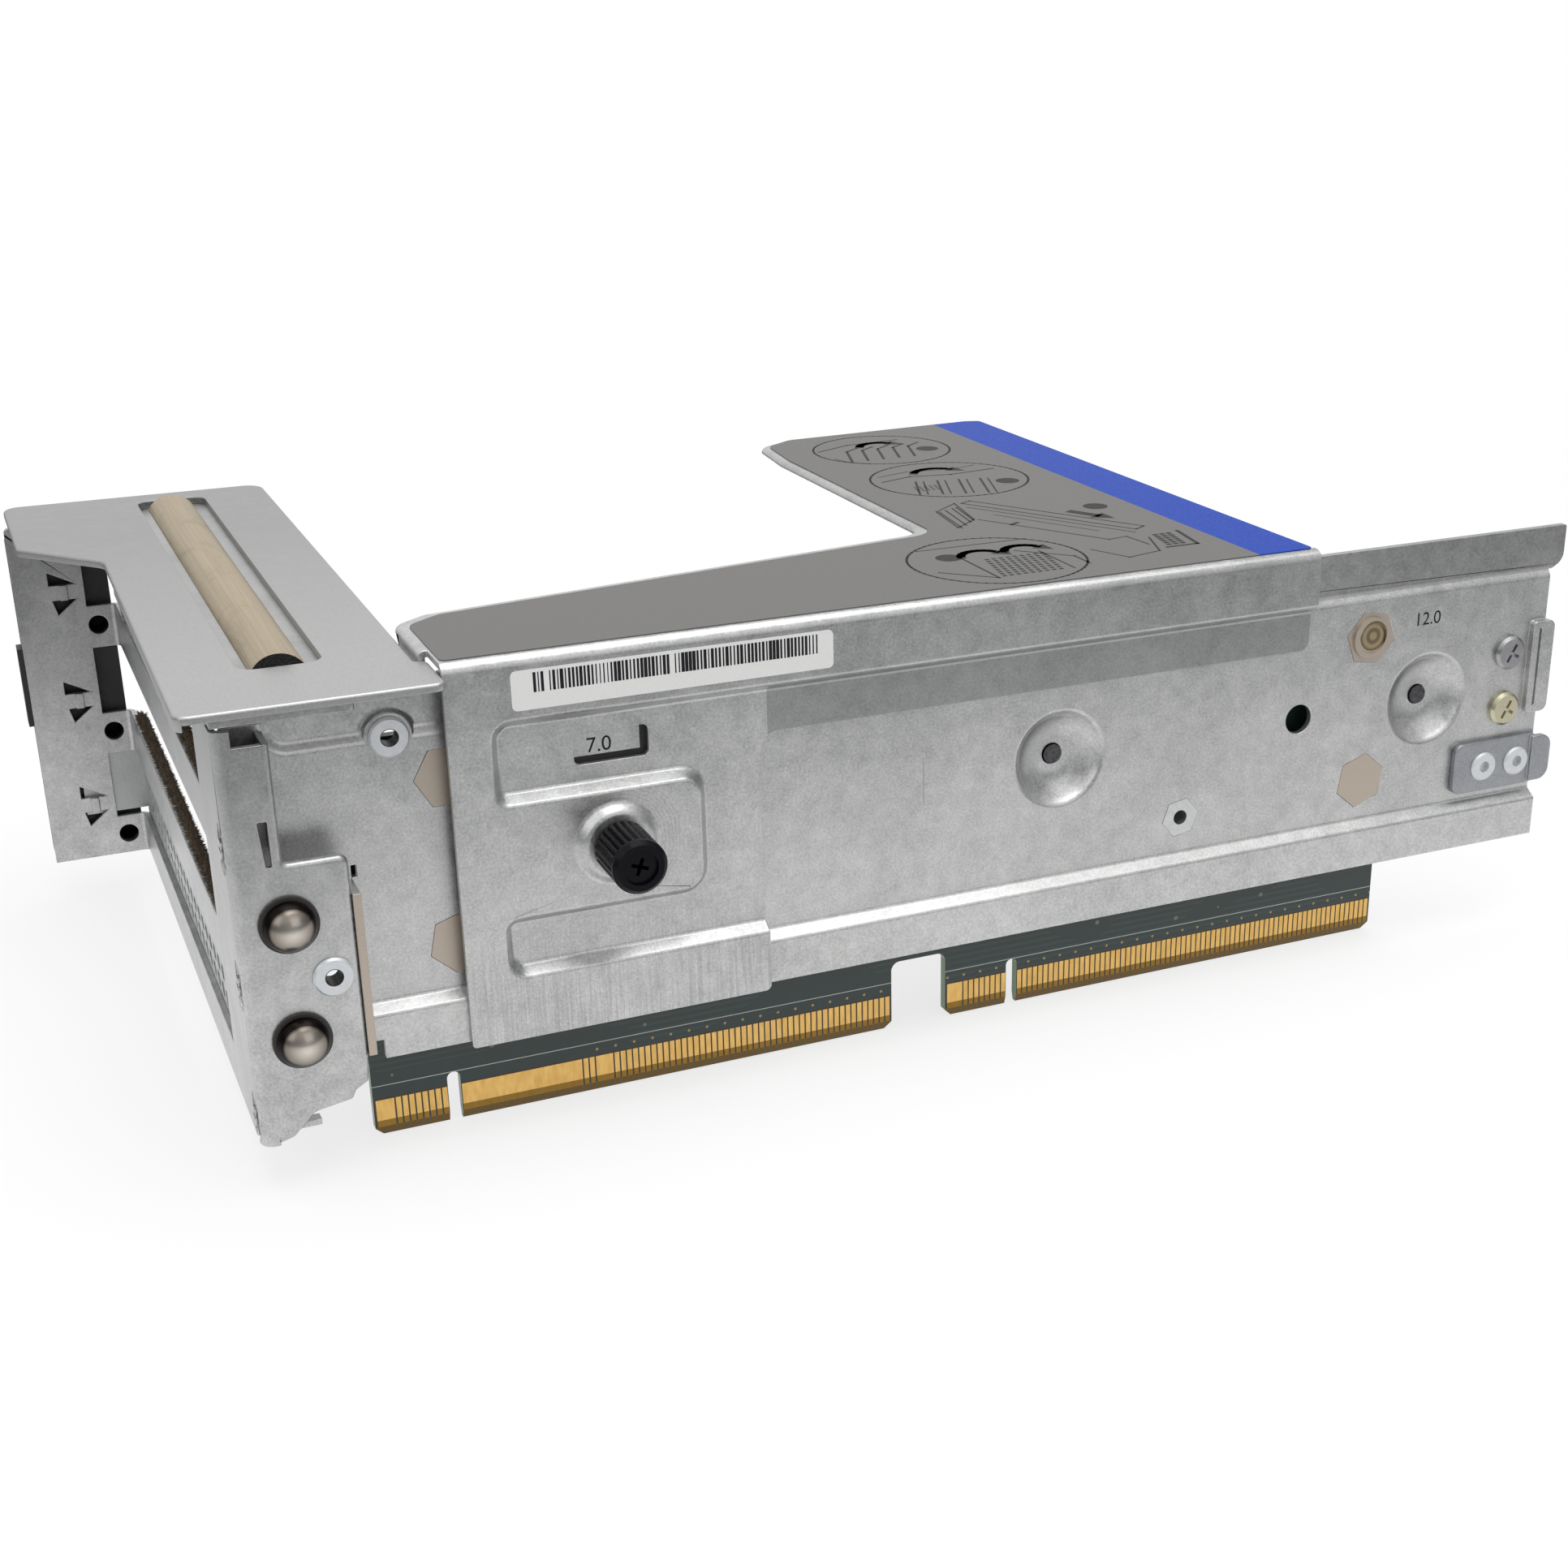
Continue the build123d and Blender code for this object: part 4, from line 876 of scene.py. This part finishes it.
# Window gaskets: brown conductive pile on two narrow strips, glued along the bars
# between the windows. The cards' brackets press on its bristles.
pile = Finish("gasket_pile", (0.1, 0.07, 0.045), 0.85)
tuft = pile.clouds(1600.0, rough=0.7)
pile.mottle(tuft, (0.03, 0.02, 0.014), (0.2, 0.15, 0.1))
pile.bump(tuft, 0.0004, 1.0)
dress("bar_gaskets", pile)
brush = Pattern("bristles", Density=20.0e6, Length=0.9 * MM, Thick=0.09 * MM, Tip=0.02 * MM)
given = brush.given
roots = brush.node("GeometryNodeDistributePointsOnFaces", None,
                   {"Mesh": given["Base"], "Density": given["Density"], "Seed": 11}, "Points")
hair = brush.node("GeometryNodeMeshCone", {"fill_type": "NONE"},
                  {"Vertices": 3, "Radius Bottom": given["Thick"], "Radius Top": given["Tip"],
                   "Depth": given["Length"]})
sway = brush.vary((-0.55, -0.55, -3.1), (0.55, 0.55, 3.1), seed=12)
standing = brush.node("FunctionNodeRotateEuler", {"rotation_type": "EULER", "space": "LOCAL"},
                      {0: roots.output("Rotation"), 1: sway})
hairs = brush.copies(roots, hair, Rotation=standing,
                     Scale=brush.vary((0.7, 0.7, 0.6), (1.3, 1.3, 1.1), seed=13))
tufts = brush.lay(hairs, pile, "gasket_bristles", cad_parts["bar_gaskets"].data)

# Card retainer: black moulded plastic, clipped behind the far flange, where it holds
# the ends of the cards' brackets.
retainer_finish = Finish("retainer_moulding", (0.012, 0.012, 0.013), 0.5)
retainer_grain = retainer_finish.clouds(1500.0, rough=0.6)
retainer_finish.roughen(retainer_grain, 0.42, 0.6)
dress("slot_retainer", retainer_finish)

# Floor: a wide sheet of white paper under the card edges. It keeps the module's
# shadow, and metal shows it white close to the module and grey further off.
floor_reach = 6.0
floor_drop = 0.0005
paper_light = (0.84, 0.84, 0.84)
paper_dark = (0.8, 0.8, 0.8)
far_reflected_shade = (0.2, 0.2, 0.21)
floor_finish = Finish("pale_floor", paper_light, 0.9)
speckle = floor_finish.clouds(8.0, detail=2.0, rough=0.5)
glow = floor_finish.node("ShaderNodeEmission", None, {"Color": (1.0, 1.0, 1.0)})
seen_direct = floor_finish.node("ShaderNodeLightPath", out="Is Camera Ray")
seen_in_metal = seen_direct.output("Is Glossy Ray")
seen_through = seen_direct.output("Is Transmission Ray")
along, across, up = floor_finish.metres()
away = (along * along * 0.2 + across * across) ** 0.5
# Painted light: the floor glows more further from the module, and in metal it is painted grey
# further off, as light falling off.
near = floor_finish.span(away, 0.26, 0.12)
distant = floor_finish.span(away, 0.12, 0.4)
share = (seen_direct + seen_through) * (distant * 0.25 + 0.75) + seen_in_metal * near * 0.75
pale = floor_finish.blend(speckle, paper_dark, paper_light)
floor_finish.mottle(seen_in_metal * (1.0 - near), pale, far_reflected_shade)
lit = Grade(floor_finish, floor_finish.shader.outputs[0])
surface = floor_finish.node("ShaderNodeMixShader", None, {0: share, 1: lit, 2: glow})
floor_finish.feed(floor_finish.tree.nodes["Material Output"].inputs["Surface"], surface)
floor_mesh = bpy.data.meshes.new("floor")
floor_corners = [(x * floor_reach, y * floor_reach, -floor_drop)
                 for x, y in ((-1, -1), (1, -1), (1, 1), (-1, 1))]
floor_mesh.from_pydata(floor_corners, [], [(0, 1, 2, 3)])
floor_mesh.materials.append(floor_finish.material)
floor = show("floor", floor_mesh)

# Studio: a broad soft lamp overhead, a weaker one from the left and one in front. A
# white backdrop stands behind the module, and metal that faces it shows it too. The
# room's other walls are pale and darken towards the horizon.
horizon = (0.3, 0.3, 0.31, 1.0)
low_wall = (0.36, 0.36, 0.3636, 1.0)
high_wall = (0.62, 0.62, 0.6262, 1.0)
ceiling = (0.95, 0.95, 0.95, 1.0)
world = bpy.data.worlds.new("studio")
bpy.context.scene.world = world
world.use_nodes = True
room = Wiring(world.node_tree)
rightward, backward, upward = room.split(room.node("ShaderNodeTexCoord", out="Generated"))
wall_stops = [(0.0, horizon), (0.33, low_wall), (0.5, high_wall), (0.9, ceiling)]
walls = room.node("ShaderNodeValToRGB", {"stops": wall_stops}, {0: upward})
seen_direct = room.node("ShaderNodeLightPath", out="Is Camera Ray")
seen_in_metal = seen_direct.output("Is Glossy Ray") * room.span(backward, 0.35, 0.9)
seen_through = seen_direct.output("Is Transmission Ray")
backdrop = room.blend(seen_direct + seen_in_metal + seen_through, walls, (1.0, 1.0, 1.0))
room.feed(room.tree.nodes["Background"].inputs["Color"], backdrop)
lamps = [
    ("lamp_above", (0.05, -0.12, 0.9), (0.0, 0.0, 0.0), 0.8, 5.6),
    ("lamp_left", (-0.8, -0.45, 0.55), (0.0, 0.0, 0.03), 0.6, 1.2),
    ("lamp_front", (0.3, -1.0, 0.5), (0.0, 0.0, 0.03), 0.7, 1.0),
]
for name, place, aim, size, power in lamps:
    light = bpy.data.lights.new(name, "AREA")
    light.size = size
    light.energy = power
    lamp = show(name, light)
    lamp.location = place
    lamp.rotation_euler = (Vector(aim) - Vector(place)).to_track_quat("-Z", "Y").to_euler()

# Camera: at the photograph's viewing angle, low in front and a little to the left. Its
# lens is shifted as the photograph is framed.
eye = at(-48.24, -289.44, 160.1)
turn = math.radians(23.987)
dip = math.radians(22.055)
lean = math.radians(-0.515)
frame_width = 1932.0
focal_length = 2669.6
middle_across, middle_down = 1074.6, 1049.0
forward = Vector((math.sin(turn) * math.cos(dip), math.cos(turn) * math.cos(dip),
                  -math.sin(dip)))
right = Vector((math.cos(turn), -math.sin(turn), 0.0))
upright = right.cross(forward)
right, upright = (right * math.cos(lean) + upright * math.sin(lean),
                  upright * math.cos(lean) - right * math.sin(lean))
camera_data = bpy.data.cameras.new("camera")
camera_data.sensor_width = 36.0
camera_data.lens = camera_data.sensor_width * focal_length / frame_width
camera_data.shift_x = 0.5 - middle_across / frame_width
camera_data.shift_y = middle_down / frame_width - 0.5
camera_data.clip_start = 0.01
camera = show("camera", camera_data)
camera.matrix_world = Matrix((
    (right.x, upright.x, -forward.x, eye.x),
    (right.y, upright.y, -forward.y, eye.y),
    (right.z, upright.z, -forward.z, eye.z),
    (0, 0, 0, 1)))
bpy.context.scene.camera = camera
bpy.context.scene.view_settings.view_transform = "Standard"
